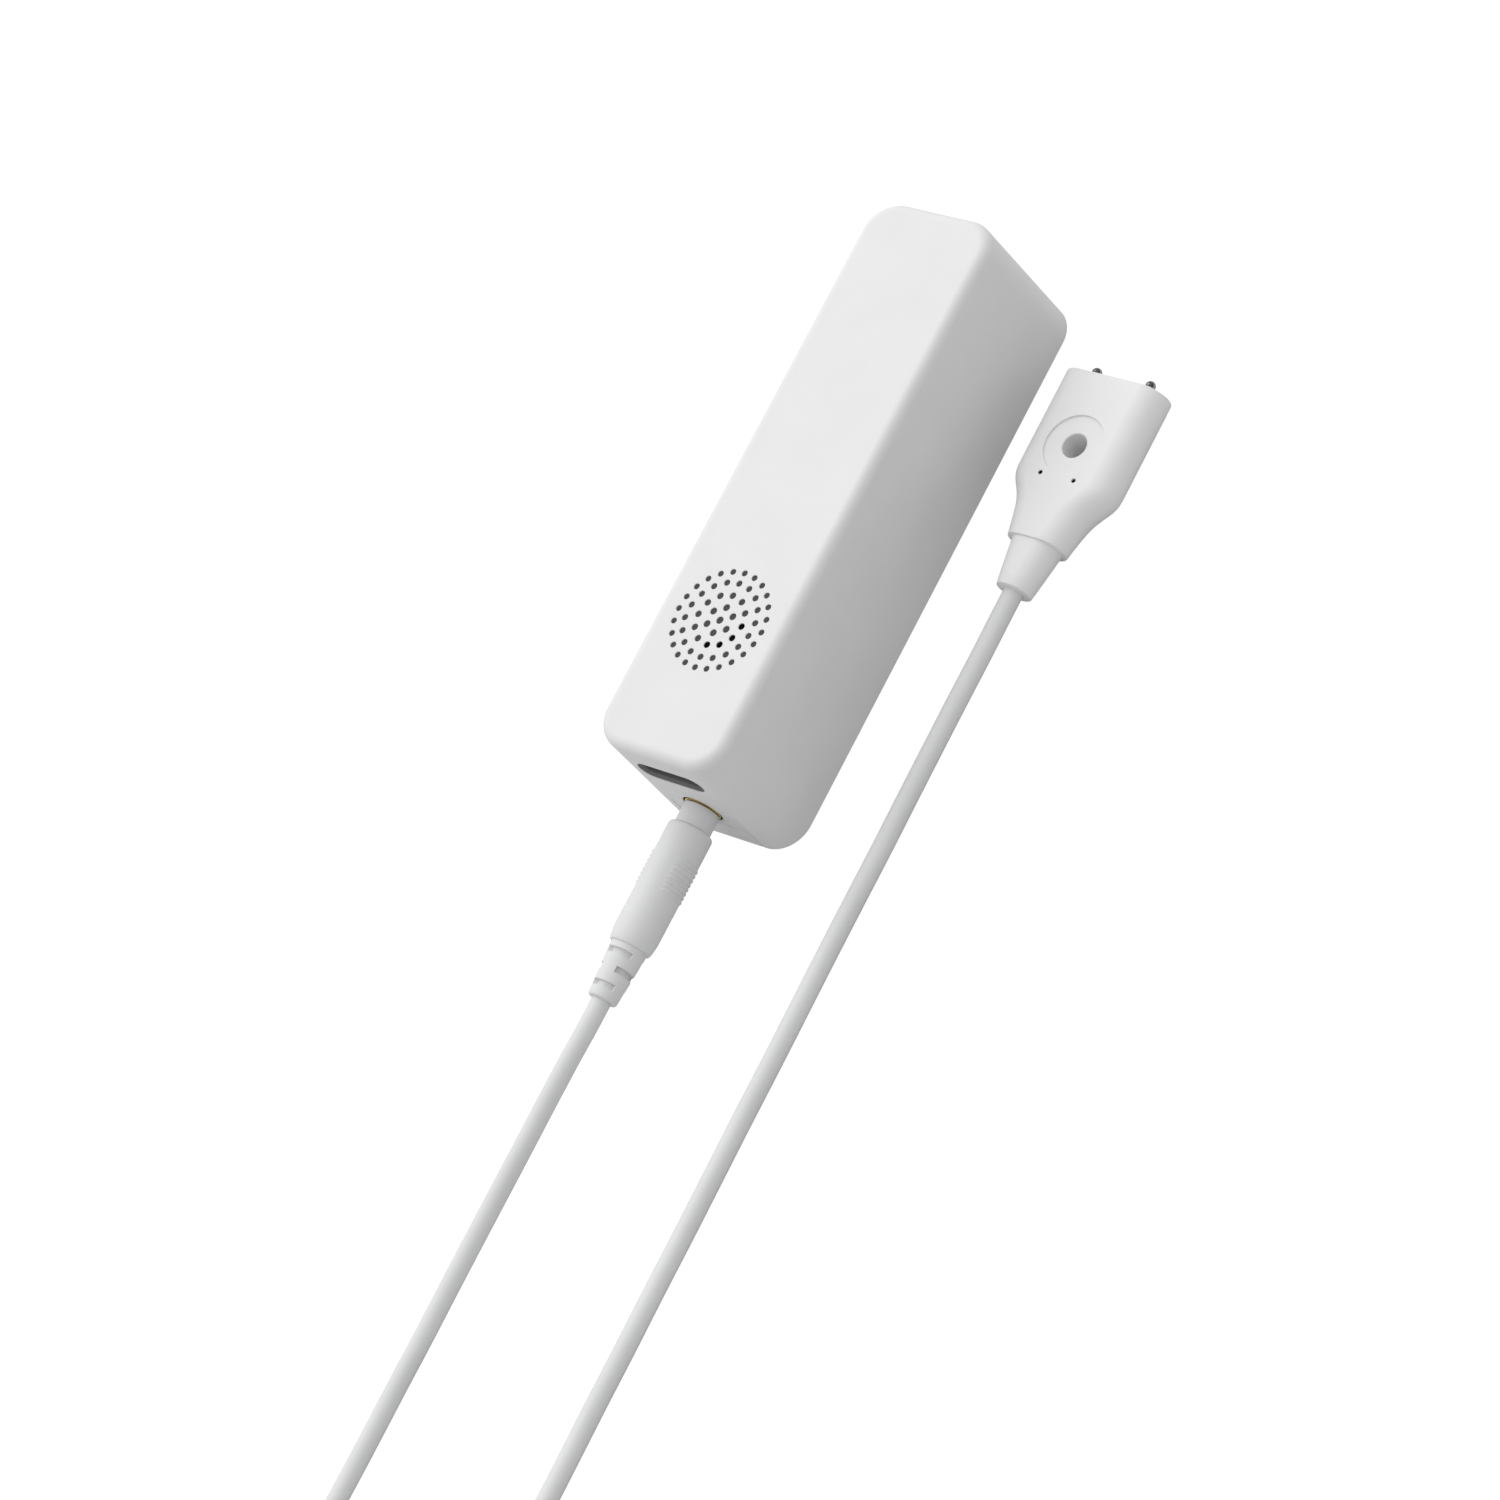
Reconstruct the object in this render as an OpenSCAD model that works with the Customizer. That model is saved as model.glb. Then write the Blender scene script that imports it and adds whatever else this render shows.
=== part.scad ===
// Leak alarm: a battery box with a sounder and a contact probe on a plug-in lead.
// Millimetres. +Z leaves the sounder face, +Y runs to the far end, and the jack is in the near end.
// The origin is the middle of the back of the box, which lies on its back.

/* [Body] */
// Length of the box at its back
body_length = 122; // [116:1:160]
// Width of the box at its back
body_width = 31.5; // [30:0.5:44]
// Depth of the box, from its back to the sounder face
body_depth = 33.5; // [33:0.5:44]
// Radius of the four long corner edges
corner_radius = 7; // [5:0.5:9]
// Radius of the edge round the sounder face
face_fillet = 2; // [1:0.25:3]
// How much each side leans in from the back to the face
draft = 0.5; // [0:0.1:0.8]
// Thickness of the walls at the back
wall = 2.4; // [2:0.1:2.8]
// Thickness of the sounder face
face_wall = 2.4; // [1.8:0.1:3]

/* [Back cover] */
// Thickness of the rim of the box round the cover
rim_wall = 1.6; // [1.2:0.1:1.8]
// Thickness of the cover
cover_thickness = 2; // [1.6:0.1:2.4]
// Gap all round the cover
cover_gap = 0.15; // [0.1:0.05:0.3]
// Width of the tongue that wraps up onto the near end
tongue_width = 16; // [12:0.5:17]
// Height of the top of the tongue
tongue_top = 6.3; // [5:0.1:6.5]

/* [Sound holes] */
// Distance of the middle of the hole pattern from the near end
grille_offset = 30; // [28:1:40]
// Diameter of the middle hole
hole_diameter = 1.55; // [1:0.05:1.8]
// How much smaller the holes of each further ring are
hole_step = 0.07; // [0:0.01:0.15]
// Thickness of the face under the hole pattern
grille_skin = 1.1; // [0.8:0.1:1.4]

/* [Jack and plug] */
// Height of the jack's axis above the back
jack_height = 11.7; // [11:0.1:12.5]
// Diameter of the plug's barrel
barrel_diameter = 3.5; // [2.5:0.1:3.5]
// Length of the plug's barrel
barrel_length = 14; // [11:0.5:14.5]
// Diameter of the jack opening in the end wall
jack_opening = 8.6; // [8.2:0.1:9]
// Diameter of the jack's bush
bush_diameter = 7.8; // [7:0.1:8]
// How far the bush stands out of the end wall
bush_proud = 0.4; // [0.2:0.1:0.8]
// Diameter of the plug's collar
collar_diameter = 7.4; // [6.5:0.1:8]
// Length of the plug's collar
collar_length = 4.4; // [3:0.1:6]
// Diameter of the plug's handle
handle_diameter = 9.2; // [8:0.1:9.6]
// Length of the plug's handle
handle_length = 25.7; // [20:0.1:30]
// Length of the strain-relief boot
boot_length = 11.3; // [9:0.1:16]

/* [Slot and button] */
// Length of the slot in the near end
slot_length = 15.8; // [12:0.1:16.5]
// Height of the slot
slot_height = 5.6; // [5:0.1:5.8]
// Wall of the slot's lining
liner_wall = 0.7; // [0.5:0.1:0.8]
// Gap round the button
button_gap = 0.3; // [0.3:0.05:0.5]
// Depth of the button's face below the end wall
button_recess = 2.4; // [1.5:0.1:2.6]
// Travel of the button
button_travel = 0.5; // [0.3:0.1:0.5]

/* [Battery] */
// Diameter of each cell
cell_diameter = 16.8; // [14:0.1:17]
// Length of each cell with its cap
cell_length = 34.5; // [30:0.5:36]

/* [Circuit board] */
// Thickness of the board
board_thickness = 1.6; // [1:0.1:2]
// Diameter of the sounder
sounder_diameter = 22.8; // [21.5:0.1:24]
// Height of the sounder
sounder_height = 6; // [4:0.1:7]

/* [Probe] */
// Width of the probe
probe_width = 23.6; // [20:0.1:30]
// Thickness of the probe
probe_thickness = 9.5; // [9:0.1:12]
// Length of the probe without its sleeve
probe_length = 35.5; // [33:0.5:45]
// Length of the probe's sleeve
sleeve_length = 10; // [8:0.5:14]
// Diameter of the probe's screw hole
screw_hole = 5.2; // [3:0.1:5.5]
// Diameter of the flat recess round the screw hole
recess_diameter = 12.8; // [10:0.1:14]
// Distance between the two contact pins
pin_spacing = 12.8; // [11:0.1:13.4]
// Diameter of the contact pins' ball tips
pin_ball = 2.1; // [1.8:0.1:2.4]

/* [Lead] */
// Diameter of the lead
lead_diameter = 4; // [3.5:0.1:4]

/* [Hidden] */
$fn = 48;
hull_fn = 32;
cut = 1;

near_end = -body_length / 2;
far_end = body_length / 2;
inner_near = near_end + wall;
inner_far = far_end - wall;
inner_half = body_width / 2 - wall;
inner_top = body_depth - face_wall;
white = [0.93, 0.93, 0.94];
off_white = [0.86, 0.87, 0.88];
gold = [0.83, 0.66, 0.25];
steel = [0.72, 0.73, 0.75];

// Rings of sound holes: radius and count of each
grille_y = near_end + grille_offset;
ring_radii = [0, 2.75, 5.35, 8, 10.25];
ring_counts = [1, 6, 12, 18, 24];

// Battery stack, in the order in which it fills the tray
cell_radius = cell_diameter / 2;
cell_cap = 1;
cell_cap_radius = 3.2;
cell_z = cover_thickness + 0.5 + cell_radius;
contact_thickness = 0.4;
contact_half = 6;
spring_length = 3;
spring_wire = 0.8;
tray_start = near_end + 18.5;
cap_start = tray_start + contact_thickness;
mid_cap_start = cap_start + cell_length;
spring_start = mid_cap_start + cell_length;
spring_end = spring_start + spring_length;
tray_end = spring_end + contact_thickness;
tray_wall = 1.4;
tray_gap = 0.25;
tray_inner_half = cell_radius + tray_gap;
tray_floor_z = 5;
tray_top_inside = cell_z + cell_radius + 0.3;
tray_plate = 1.4;
tray_plate_half = 12;
tray_plate_margin = 5.5;

// Board and what stands on it
board_z = tray_top_inside + tray_plate;
board_top = board_z + board_thickness;
board_half = inner_half - 0.85;
board_start = inner_near + 3.2;
board_end = tray_end + 21;
board_corner = 3;
screw_x = 10.4;
screw_near_y = tray_start - 4;
screw_far_y = tray_end + 11.7;
screw_radius = 1.1;
screw_hole_radius = 1.3;
screw_head_radius = 2;
screw_head_height = 1.2;
screw_grip = 5.6;
boss_radius = 2.3;

// Sounder, hung under the face
sounder_radius = sounder_diameter / 2;
sounder_shell = 0.8;
pocket_radius = sounder_radius + 0.2;
pocket_top = body_depth - grille_skin;
gasket_height = 0.5;
gasket_width = 0.7;
sounder_top = pocket_top - gasket_height;
sounder_bottom = sounder_top - sounder_height;
port_radius = ring_radii[2];
port_width = 2.4;

// Slot, its lining and the button
switch_height = 3.6;
switch_half = 3;
switch_depth = 4;
switch_face = inner_near + 4.1;
plunger_length = 0.8;
slot_z = board_top + switch_height / 2;
slot_half = slot_length / 2;
slot_half_height = slot_height / 2;
liner_end = inner_near + 1;
button_face = near_end + button_recess;
button_half = slot_half - liner_wall - button_gap;
button_half_height = slot_half_height - liner_wall - button_gap;
button_flange_start = liner_end + 0.3;
button_flange = 1;
button_flange_grow = 0.5;
button_stem_radius = 1;
button_stem_end = switch_face - plunger_length - button_travel - 0.1;

// Jack
bore_radius = barrel_diameter / 2 + 0.08;
bush_face = near_end - bush_proud + 0.5;
jack_half = 4.5;
jack_end = bush_face + barrel_length + 2;
tip_chamber_start = bush_face + barrel_length - 4.6;
tip_chamber_end = bush_face + barrel_length + 0.9;
tip_spring_half = 0.9;
tip_spring_z = jack_height + barrel_diameter / 2 + 0.45;
tip_spring_thickness = 0.3;
yoke_gap = 0.1;
yoke_top = jack_height - 0.5;

// Plug, measured back from the bush
plug_face = bush_face - 0.1;
handle_start = collar_length;
boot_start = handle_start + handle_length;
boot_end = boot_start + boot_length;
collar_radius = collar_diameter / 2;
handle_radius = handle_diameter / 2;
handle_edge = 0.4;
shoulder_length = 4;
shoulder_radius = handle_radius - 0.65;
grip_count = 8;
grip_pitch = 0.95;
grip_first = 11.2;
grip_rise = 0.3;
grip_width = 0.45;
grip_angle = 108;
boot_radius = 3.7;
boot_end_radius = 2.95;
window_width = 1.25;
window_depth = 0.9;
window_angle = 120;
window_first = 1.9;
window_pitch = 3.4;
flange_radius = 3.1;
flange_thickness = 0.6;
sleeve_bore = 1.35;
core_radius = 0.9;
insulator_ring = 0.7;
tip_length = 3.5;
core_inside = 5;

// Probe: it lies flat beside the box
probe_x = 36.5;
probe_lip_y = near_end + 71.3;
probe_tail_y = probe_lip_y - sleeve_length;
probe_end_y = probe_lip_y + probe_length;
probe_z = probe_thickness / 2;
screw_hole_y = probe_end_y - 15.4;
recess_depth = 0.6;
pin_hole_spacing = 7.9;
pin_hole_y = screw_hole_y - 7.1;
pin_hole_radius = 0.5;
pin_hole_depth = 1.5;
pin_radius = 0.9;
pin_reach = 1.8;
pin_inside = 10;
crimp_radius = 1.3;
crimp_length = 5;
// Distance from the lip, half-width and half-thickness lost there, for each section of the neck
neck_sections = [[0, 5.3, 0.15], [2.7, 4.7, 0.15], [6.7, 3.6, 0.1], [9, 2.5, 0.05], [11.2, 0.9, 0], [13.7, 0, 0]];
sleeve_top_half = 5.35;
sleeve_top_thick = 4.1;
sleeve_end_radius = 3.7;

// Lead: hand-laid route of the free stretches, y from the near end, then the coil that holds the rest
lead_radius = lead_diameter / 2;
lead_sides = 10;
boot_tail = plug_face - boot_end - near_end;
sleeve_tail = probe_tail_y - near_end;
plug_route = [
    [0, boot_tail, jack_height], [0, boot_tail - 4.6, jack_height], [-0.5, -53, 11.3], [-1.3, -61, 10.4],
    [-2.4, -71, 9], [-3.7, -81, 7.4], [-5, -91, 5.8], [-6.1, -101, 4.4], [-6.9, -111, 3.3],
    [-7.6, -121, 2.5], [-7.9, -131, 2.1], [-8, -141, 2], [-8.2, -151, 2], [-8.6, -161, 2],
    [-9, -171, 2], [-9.2, -181, 2]
];
probe_route = [
    [probe_x, sleeve_tail, probe_z], [probe_x, sleeve_tail - 5.3, probe_z], [36.3, 47, 4.4],
    [35.8, 37, 3.8], [35.3, 27, 3.1], [34.9, 17, 2.5], [34.7, 7, 2.1], [34.6, -3, 2], [34.6, -15, 2],
    [34.7, -27, 2], [34.8, -39, 2], [34.8, -51, 2], [34.9, -63, 2], [35, -75, 2], [35, -87, 2],
    [35.1, -99, 2], [35.1, -111, 2], [35.2, -121, 2], [35.3, -131, 2.1], [35.5, -139, 2.7],
    [35.9, -147, 3.9], [36.4, -155, 5.6], [36.9, -163, 7.5], [37.4, -171, 9], [37.7, -179, 9.8],
    [37.8, -185, 10]
];
coil_x = 14.3;
coil_y = -189;
coil_radius = 21.5;
coil_columns = 2;
coil_layers = 3;

function unit(v) = v / norm(v);

// Direction of a route at one of its points
function heading(route, i) = unit(route[min(i + 1, len(route) - 1)] - route[max(i - 1, 0)]);

// Points of a circle round a route's point, square to the route
function lead_ring(route, i, radius, sides, up) =
    let (t = heading(route, i), u = unit(cross(t, up)), v = cross(u, t))
    [for (k = [0 : sides - 1]) route[i] + radius * (cos(360 * k / sides) * u + sin(360 * k / sides) * v)];

// Points of a flat section with round sides, square to Y
function flat_section(x, y, z, half_width, half_thick, steps) =
    [for (side = [0, 1], k = [0 : steps])
        let (a = (side == 0 ? -90 : 90) + 180 * k / steps, s = side == 0 ? 1 : -1)
        [x + s * (half_width - half_thick) + half_thick * cos(a), y, z + half_thick * sin(a)]];

// Closed solid through a list of rings of points
module skin(rings) {
    n = len(rings[0]);
    last = len(rings) - 1;
    points = [for (ring = rings) each ring];
    sides = [for (i = [0 : last - 1], k = [0 : n - 1])
        let (a = i * n + k, b = i * n + (k + 1) % n)
        each [[a, b, a + n], [b, b + n, a + n]]];
    near_cap = [for (k = [n - 1 : -1 : 0]) k];
    far_cap = [for (k = [0 : n - 1]) last * n + k];
    polyhedron(points, concat([near_cap, far_cap], sides), convexity = 8);
}

// Round tube solid along a route
module tube_along(route, radius, sides, up) {
    skin([for (i = [0 : len(route) - 1]) lead_ring(route, i, radius, sides, up)]);
}

// Rectangle with round corners, centred
module rounded_outline(length, width, radius) {
    square([width - 2 * radius, length], center = true);
    square([width, length - 2 * radius], center = true);
    for (x = [-1, 1], y = [-1, 1]) {
        translate([x * (width / 2 - radius), y * (length / 2 - radius)]) circle(radius);
    }
}

// Oval with round ends, centred
module oval_outline(half_length, half_height) {
    square([2 * (half_length - half_height), 2 * half_height], center = true);
    for (x = [-1, 1]) {
        translate([x * (half_length - half_height), 0]) circle(half_height);
    }
}

// Turns a shape built along +Z so that it runs along -Y from a given place
module toward_near(x, y, z) {
    translate([x, y, z]) rotate([90, 0, 0]) children();
}

// Round-cornered block with a rounded face, leaning in by the draft
module body_solid() {
    hull() {
        for (x = [-1, 1], y = [-1, 1]) {
            translate([x * (body_width / 2 - corner_radius), y * (body_length / 2 - corner_radius), 0])
                cylinder(h = 0.2, r = corner_radius);
            translate([
                x * (body_width / 2 - draft - corner_radius),
                y * (body_length / 2 - draft - corner_radius),
                body_depth - face_fillet
            ])
                rotate_extrude() face_corner();
        }
    }
}

// Half-section of one corner of the face
module face_corner() {
    flat = corner_radius - face_fillet;
    polygon(concat(
        [[0, 0]],
        [for (a = [0 : 15 : 90]) [flat + face_fillet * cos(a), face_fillet * sin(a)]],
        [[0, face_fillet]]
    ));
}

// Every sound hole, cut through the skin
module sound_holes() {
    for (ring = [0 : len(ring_radii) - 1]) {
        for (k = [0 : ring_counts[ring] - 1]) {
            translate([0, grille_y, 0]) rotate(360 * k / ring_counts[ring])
                translate([0, ring_radii[ring], pocket_top - cut])
                    cylinder(h = grille_skin + 2 * cut, d = hole_diameter - hole_step * ring, $fn = 24);
        }
    }
}

// Two hooks of the cover, or their pockets in the far wall when grown
module cover_hooks(grow) {
    hook_half = 2;
    hook_z = cover_thickness + 0.9;
    hook_height = 1;
    hook_reach = 0.7;
    for (x = [-1, 1]) {
        translate([x * 7 - hook_half - grow, inner_far - 1.4, hook_z - grow])
            cube([2 * (hook_half + grow), 1.4 + hook_reach + grow, hook_height + 2 * grow]);
    }
}

// Places of the four screws that hold the tray and the board
module at_screws() {
    for (x = [-1, 1], y = [screw_near_y, screw_far_y]) {
        translate([x * screw_x, y, 0]) children();
    }
}

module housing() {
    color(white) difference() {
        union() {
            difference() {
                body_solid();
                translate([0, 0, -cut]) linear_extrude(inner_top + cut)
                    rounded_outline(inner_far - inner_near, 2 * inner_half, corner_radius - wall);
            }
            at_screws() translate([0, 0, board_top])
                cylinder(h = inner_top - board_top + 0.2, r = boss_radius);
            translate([0, grille_y, inner_top - 2]) difference() {
                cylinder(h = 2.2, r = pocket_radius + 0.8);
                translate([0, 0, -cut]) cylinder(h = 4, r = pocket_radius);
            }
        }
        translate([0, 0, -cut]) linear_extrude(cover_thickness + 0.1 + cut)
            rounded_outline(body_length - 2 * rim_wall, body_width - 2 * rim_wall, corner_radius - rim_wall);
        translate([-tongue_width / 2, near_end - cut, -cut])
            cube([tongue_width, wall + 2 * cut, yoke_top + cut]);
        toward_near(0, inner_near + cut, jack_height) cylinder(h = wall + 2 * cut, d = jack_opening);
        toward_near(0, inner_near + cut, slot_z)
            linear_extrude(wall + 2 * cut) oval_outline(slot_half, slot_half_height);
        cover_hooks(0.3);
        at_screws() translate([0, 0, board_top - cut]) cylinder(h = screw_grip + cut, r = screw_radius);
        translate([0, grille_y, inner_top - cut]) cylinder(h = pocket_top - inner_top + cut, r = pocket_radius);
        sound_holes();
    }
}

module back_cover() {
    edge = rim_wall + cover_gap;
    tongue_half = tongue_width / 2 - cover_gap;
    color(white) union() {
        linear_extrude(cover_thickness)
            rounded_outline(body_length - 2 * edge, body_width - 2 * edge, corner_radius - edge);
        intersection() {
            body_solid();
            translate([-tongue_half, near_end - cut, 0])
                cube([2 * tongue_half, wall + cut, tongue_top - yoke_gap]);
        }
        translate([0, -0.4, 0]) cover_hooks(0);
        for (x = [-1, 1]) {
            translate([x * 7 - 2, inner_far - 1.8, cover_thickness - 0.2]) cube([4, 1.2, 1.2]);
        }
    }
}

module jack_yoke() {
    yoke_half = tongue_width / 2 - yoke_gap;
    color(off_white) difference() {
        intersection() {
            body_solid();
            translate([-yoke_half, near_end - cut, tongue_top])
                cube([2 * yoke_half, wall + cut, yoke_top - yoke_gap - tongue_top]);
        }
        toward_near(0, inner_near + cut, jack_height) cylinder(h = wall + 2 * cut, d = jack_opening);
    }
}

module jack_bush() {
    length = inner_near - bush_face;
    color(gold) toward_near(0, inner_near, jack_height) difference() {
        cylinder(h = length, d = bush_diameter);
        translate([0, 0, -cut]) cylinder(h = length + 2 * cut, r = bore_radius);
    }
}

module jack_body() {
    color("dimgray") difference() {
        translate([-jack_half, inner_near, jack_height - jack_half])
            cube([2 * jack_half, jack_end - inner_near, 2 * jack_half]);
        toward_near(0, tip_chamber_end, jack_height)
            cylinder(h = tip_chamber_end - inner_near + cut, r = bore_radius);
        translate([-tip_spring_half - 0.3, tip_chamber_start, jack_height])
            cube([2 * tip_spring_half + 0.6, tip_chamber_end - tip_chamber_start, jack_half - 0.9]);
    }
}

module jack_tip_spring() {
    color(steel) union() {
        translate([-tip_spring_half, tip_chamber_start, tip_spring_z])
            cube([2 * tip_spring_half, tip_chamber_end - tip_chamber_start, tip_spring_thickness]);
        translate([0, tip_chamber_end - 2.2, tip_spring_z + 0.3]) sphere(r = 0.6);
    }
}

module jack_pins() {
    pin_z = jack_height + jack_half;
    color(steel) for (x = [-2.5, 2.5], y = [4.6, 8.6]) {
        translate([x, inner_near + y, pin_z]) cylinder(h = board_z - pin_z, r = 0.5);
    }
}

module slot_liner() {
    color("dimgray") difference() {
        intersection() {
            union() {
                body_solid();
                translate([-slot_half, inner_near - cut, slot_z - slot_half_height])
                    cube([slot_length, liner_end - inner_near + cut, slot_height]);
            }
            toward_near(0, liner_end, slot_z)
                linear_extrude(liner_end - near_end + cut) oval_outline(slot_half, slot_half_height);
        }
        toward_near(0, liner_end + cut, slot_z)
            linear_extrude(liner_end - near_end + 3 * cut)
                oval_outline(slot_half - liner_wall, slot_half_height - liner_wall);
    }
}

module test_button() {
    flange_end = button_flange_start + button_flange;
    color([0.35, 0.36, 0.38]) union() {
        toward_near(0, button_flange_start + 0.1, slot_z)
            linear_extrude(button_flange_start + 0.1 - button_face)
                oval_outline(button_half, button_half_height);
        toward_near(0, flange_end, slot_z)
            linear_extrude(button_flange)
                oval_outline(button_half + button_flange_grow, button_half_height + button_flange_grow);
        toward_near(0, button_stem_end, slot_z)
            cylinder(h = button_stem_end - flange_end + 0.1, r = button_stem_radius);
    }
}

module button_switch() {
    color("darkslategray") union() {
        translate([-switch_half, switch_face, board_top]) cube([2 * switch_half, switch_depth, switch_height]);
        toward_near(0, switch_face + 0.1, slot_z) cylinder(h = plunger_length + 0.1, r = 1.2);
    }
}

module circuit_board() {
    color("seagreen") difference() {
        translate([0, (board_start + board_end) / 2, board_z]) linear_extrude(board_thickness)
            rounded_outline(board_end - board_start, 2 * board_half, board_corner);
        at_screws() translate([0, 0, board_z - cut])
            cylinder(h = board_thickness + 2 * cut, r = screw_hole_radius);
    }
}

module radio_module() {
    color(steel) translate([-6, grille_y + 35, board_top]) cube([12, 18, 2.4]);
}

module radio_antenna() {
    antenna_y = board_end - 3;
    color(gold) union() {
        translate([-9, antenna_y, board_top + 3]) cube([18, 0.5, 1.5]);
        translate([-9, antenna_y, board_top]) cube([1.5, 0.5, 4]);
        translate([-3, antenna_y, board_top]) cube([1.5, 0.5, 4]);
    }
}

module main_chip() {
    color([0.12, 0.12, 0.13]) translate([-3.5, grille_y + 22, board_top]) cube([7, 7, 1.2]);
}

module status_light() {
    color("honeydew") translate([-1.6, grille_y + 15, board_top]) cube([3.2, 2.8, 1.8]);
}

module sounder_case() {
    color([0.3, 0.3, 0.31]) translate([0, grille_y, 0]) difference() {
        translate([0, 0, sounder_bottom]) cylinder(h = sounder_height, r = sounder_radius);
        translate([0, 0, sounder_bottom + sounder_shell])
            cylinder(h = sounder_height - 2 * sounder_shell, r = sounder_radius - sounder_shell);
        translate([0, 0, sounder_top - sounder_shell - 0.5]) rotate(-102)
            rotate_extrude(angle = 114)
                translate([port_radius - port_width / 2, 0]) square([port_width, sounder_shell + cut]);
    }
}

module sounder_disc() {
    color(gold) translate([0, grille_y, sounder_bottom + 2.4])
        cylinder(h = 0.3, r = sounder_radius - sounder_shell);
}

module sounder_gasket() {
    color([0.2, 0.2, 0.2]) translate([0, grille_y, sounder_top]) difference() {
        cylinder(h = gasket_height, r = sounder_radius);
        translate([0, 0, -cut]) cylinder(h = gasket_height + 2 * cut, r = sounder_radius - gasket_width);
    }
}

module sounder_pins() {
    color(steel) for (x = [-5, 5]) {
        translate([x, grille_y, board_top]) cylinder(h = sounder_bottom - board_top, r = 0.4);
    }
}

module battery_tray() {
    outer_half = tray_inner_half + tray_wall;
    plate_start = screw_near_y - tray_plate_margin / 2;
    plate_end = screw_far_y + tray_plate_margin / 2;
    color(off_white) difference() {
        union() {
            translate([-outer_half, tray_start - tray_wall, tray_floor_z])
                cube([2 * outer_half, tray_end - tray_start + 2 * tray_wall, tray_top_inside - tray_floor_z]);
            translate([-tray_plate_half, plate_start, tray_top_inside])
                cube([2 * tray_plate_half, plate_end - plate_start, tray_plate]);
        }
        translate([-tray_inner_half, tray_start, tray_floor_z - cut])
            cube([2 * tray_inner_half, tray_end - tray_start, tray_top_inside - tray_floor_z + cut]);
        at_screws() translate([0, 0, tray_top_inside - cut])
            cylinder(h = tray_plate + 2 * cut, r = screw_hole_radius);
    }
}

// One cell with its cap toward the near end
module cell(start, tint) {
    color(tint) union() {
        toward_near(0, start + cell_length, cell_z) cylinder(h = cell_length - cell_cap, r = cell_radius);
        toward_near(0, start + cell_cap + 0.1, cell_z) cylinder(h = cell_cap + 0.1, r = cell_cap_radius);
    }
}

module battery_near() {
    cell(cap_start, "steelblue");
}

module battery_far() {
    cell(mid_cap_start, "steelblue");
}

module battery_spring() {
    turns = 2.5;
    steps = 30;
    coil = 3.2;
    rise = spring_length - spring_wire;
    route = [for (k = [0 : steps])
        let (a = 360 * turns * k / steps)
        [coil * cos(a), spring_start + spring_wire / 2 + rise * k / steps, cell_z + coil * sin(a)]];
    color(steel) tube_along(route, spring_wire / 2, 8, [0, 1, 0]);
}

// Flat contact against one end wall of the tray
module contact_plate(y) {
    color(steel) translate([-contact_half, y, cell_z - contact_half + 0.5])
        cube([2 * contact_half, contact_thickness, 2 * contact_half]);
}

module contact_near() {
    contact_plate(tray_start);
}

module contact_far() {
    contact_plate(spring_end);
}

module tray_screws() {
    color(steel) at_screws() union() {
        translate([0, 0, tray_top_inside - screw_head_height]) cylinder(h = screw_head_height, r = screw_head_radius);
        translate([0, 0, tray_top_inside - 0.1]) cylinder(h = board_top + screw_grip - 0.4 - tray_top_inside, r = screw_radius);
    }
}

// Half-section of the handle and its collar, along the plug's axis
module handle_section() {
    shoulder_start = boot_start - shoulder_length;
    polygon(concat(
        [[0, 0], [collar_radius, 0], [collar_radius, handle_start]],
        [[handle_radius - handle_edge, handle_start], [handle_radius, handle_start + handle_edge]],
        [for (a = [0 : 15 : 90])
            [shoulder_radius + (handle_radius - shoulder_radius) * cos(a),
                shoulder_start + (shoulder_length - 0.3) * sin(a)]],
        [[boot_radius, boot_start], [0, boot_start]]
    ));
}

// One grip rib, or one boot window when used as a cut: a ring segment about the plug's axis
module ring_segment(middle_angle, angle, inner, outer, start, width) {
    rotate(middle_angle - angle / 2) rotate_extrude(angle = angle)
        translate([inner, start]) square([outer - inner, width]);
}

module plug_handle() {
    color(off_white) toward_near(0, plug_face, jack_height) difference() {
        union() {
            rotate_extrude() handle_section();
            for (side = [0, 180], k = [0 : grip_count - 1]) {
                ring_segment(
                    side, grip_angle, handle_radius - 0.5, handle_radius + grip_rise,
                    grip_first + grip_pitch * k, grip_width
                );
            }
        }
        translate([0, 0, -cut]) cylinder(h = flange_thickness + cut, r = flange_radius);
        translate([0, 0, -cut]) cylinder(h = core_inside + cut, r = sleeve_bore);
    }
}

module plug_boot() {
    color(off_white) toward_near(0, plug_face - boot_start, jack_height) difference() {
        rotate_extrude() polygon([
            [0, 0], [boot_radius, 0], [boot_end_radius, boot_length - 0.4],
            [boot_end_radius - 0.4, boot_length], [0, boot_length]
        ]);
        for (row = [0 : 2], side = [0, 180]) {
            ring_segment(
                side + (row == 1 ? 0 : 90), window_angle, boot_radius - window_depth - 0.25 * row,
                boot_radius + cut, window_first + window_pitch * row - window_width / 2, window_width
            );
        }
    }
}

// Barrel parts: measured from the plug's face toward the tip
module in_barrel() {
    translate([0, plug_face, jack_height]) rotate([-90, 0, 0]) children();
}

module plug_sleeve() {
    length = barrel_length - tip_length - insulator_ring;
    color(gold) in_barrel() difference() {
        union() {
            cylinder(h = length, d = barrel_diameter);
            translate([0, 0, -flange_thickness]) cylinder(h = flange_thickness, r = flange_radius);
        }
        translate([0, 0, -flange_thickness - cut]) cylinder(h = length + flange_thickness + 2 * cut, r = sleeve_bore);
    }
}

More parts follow.
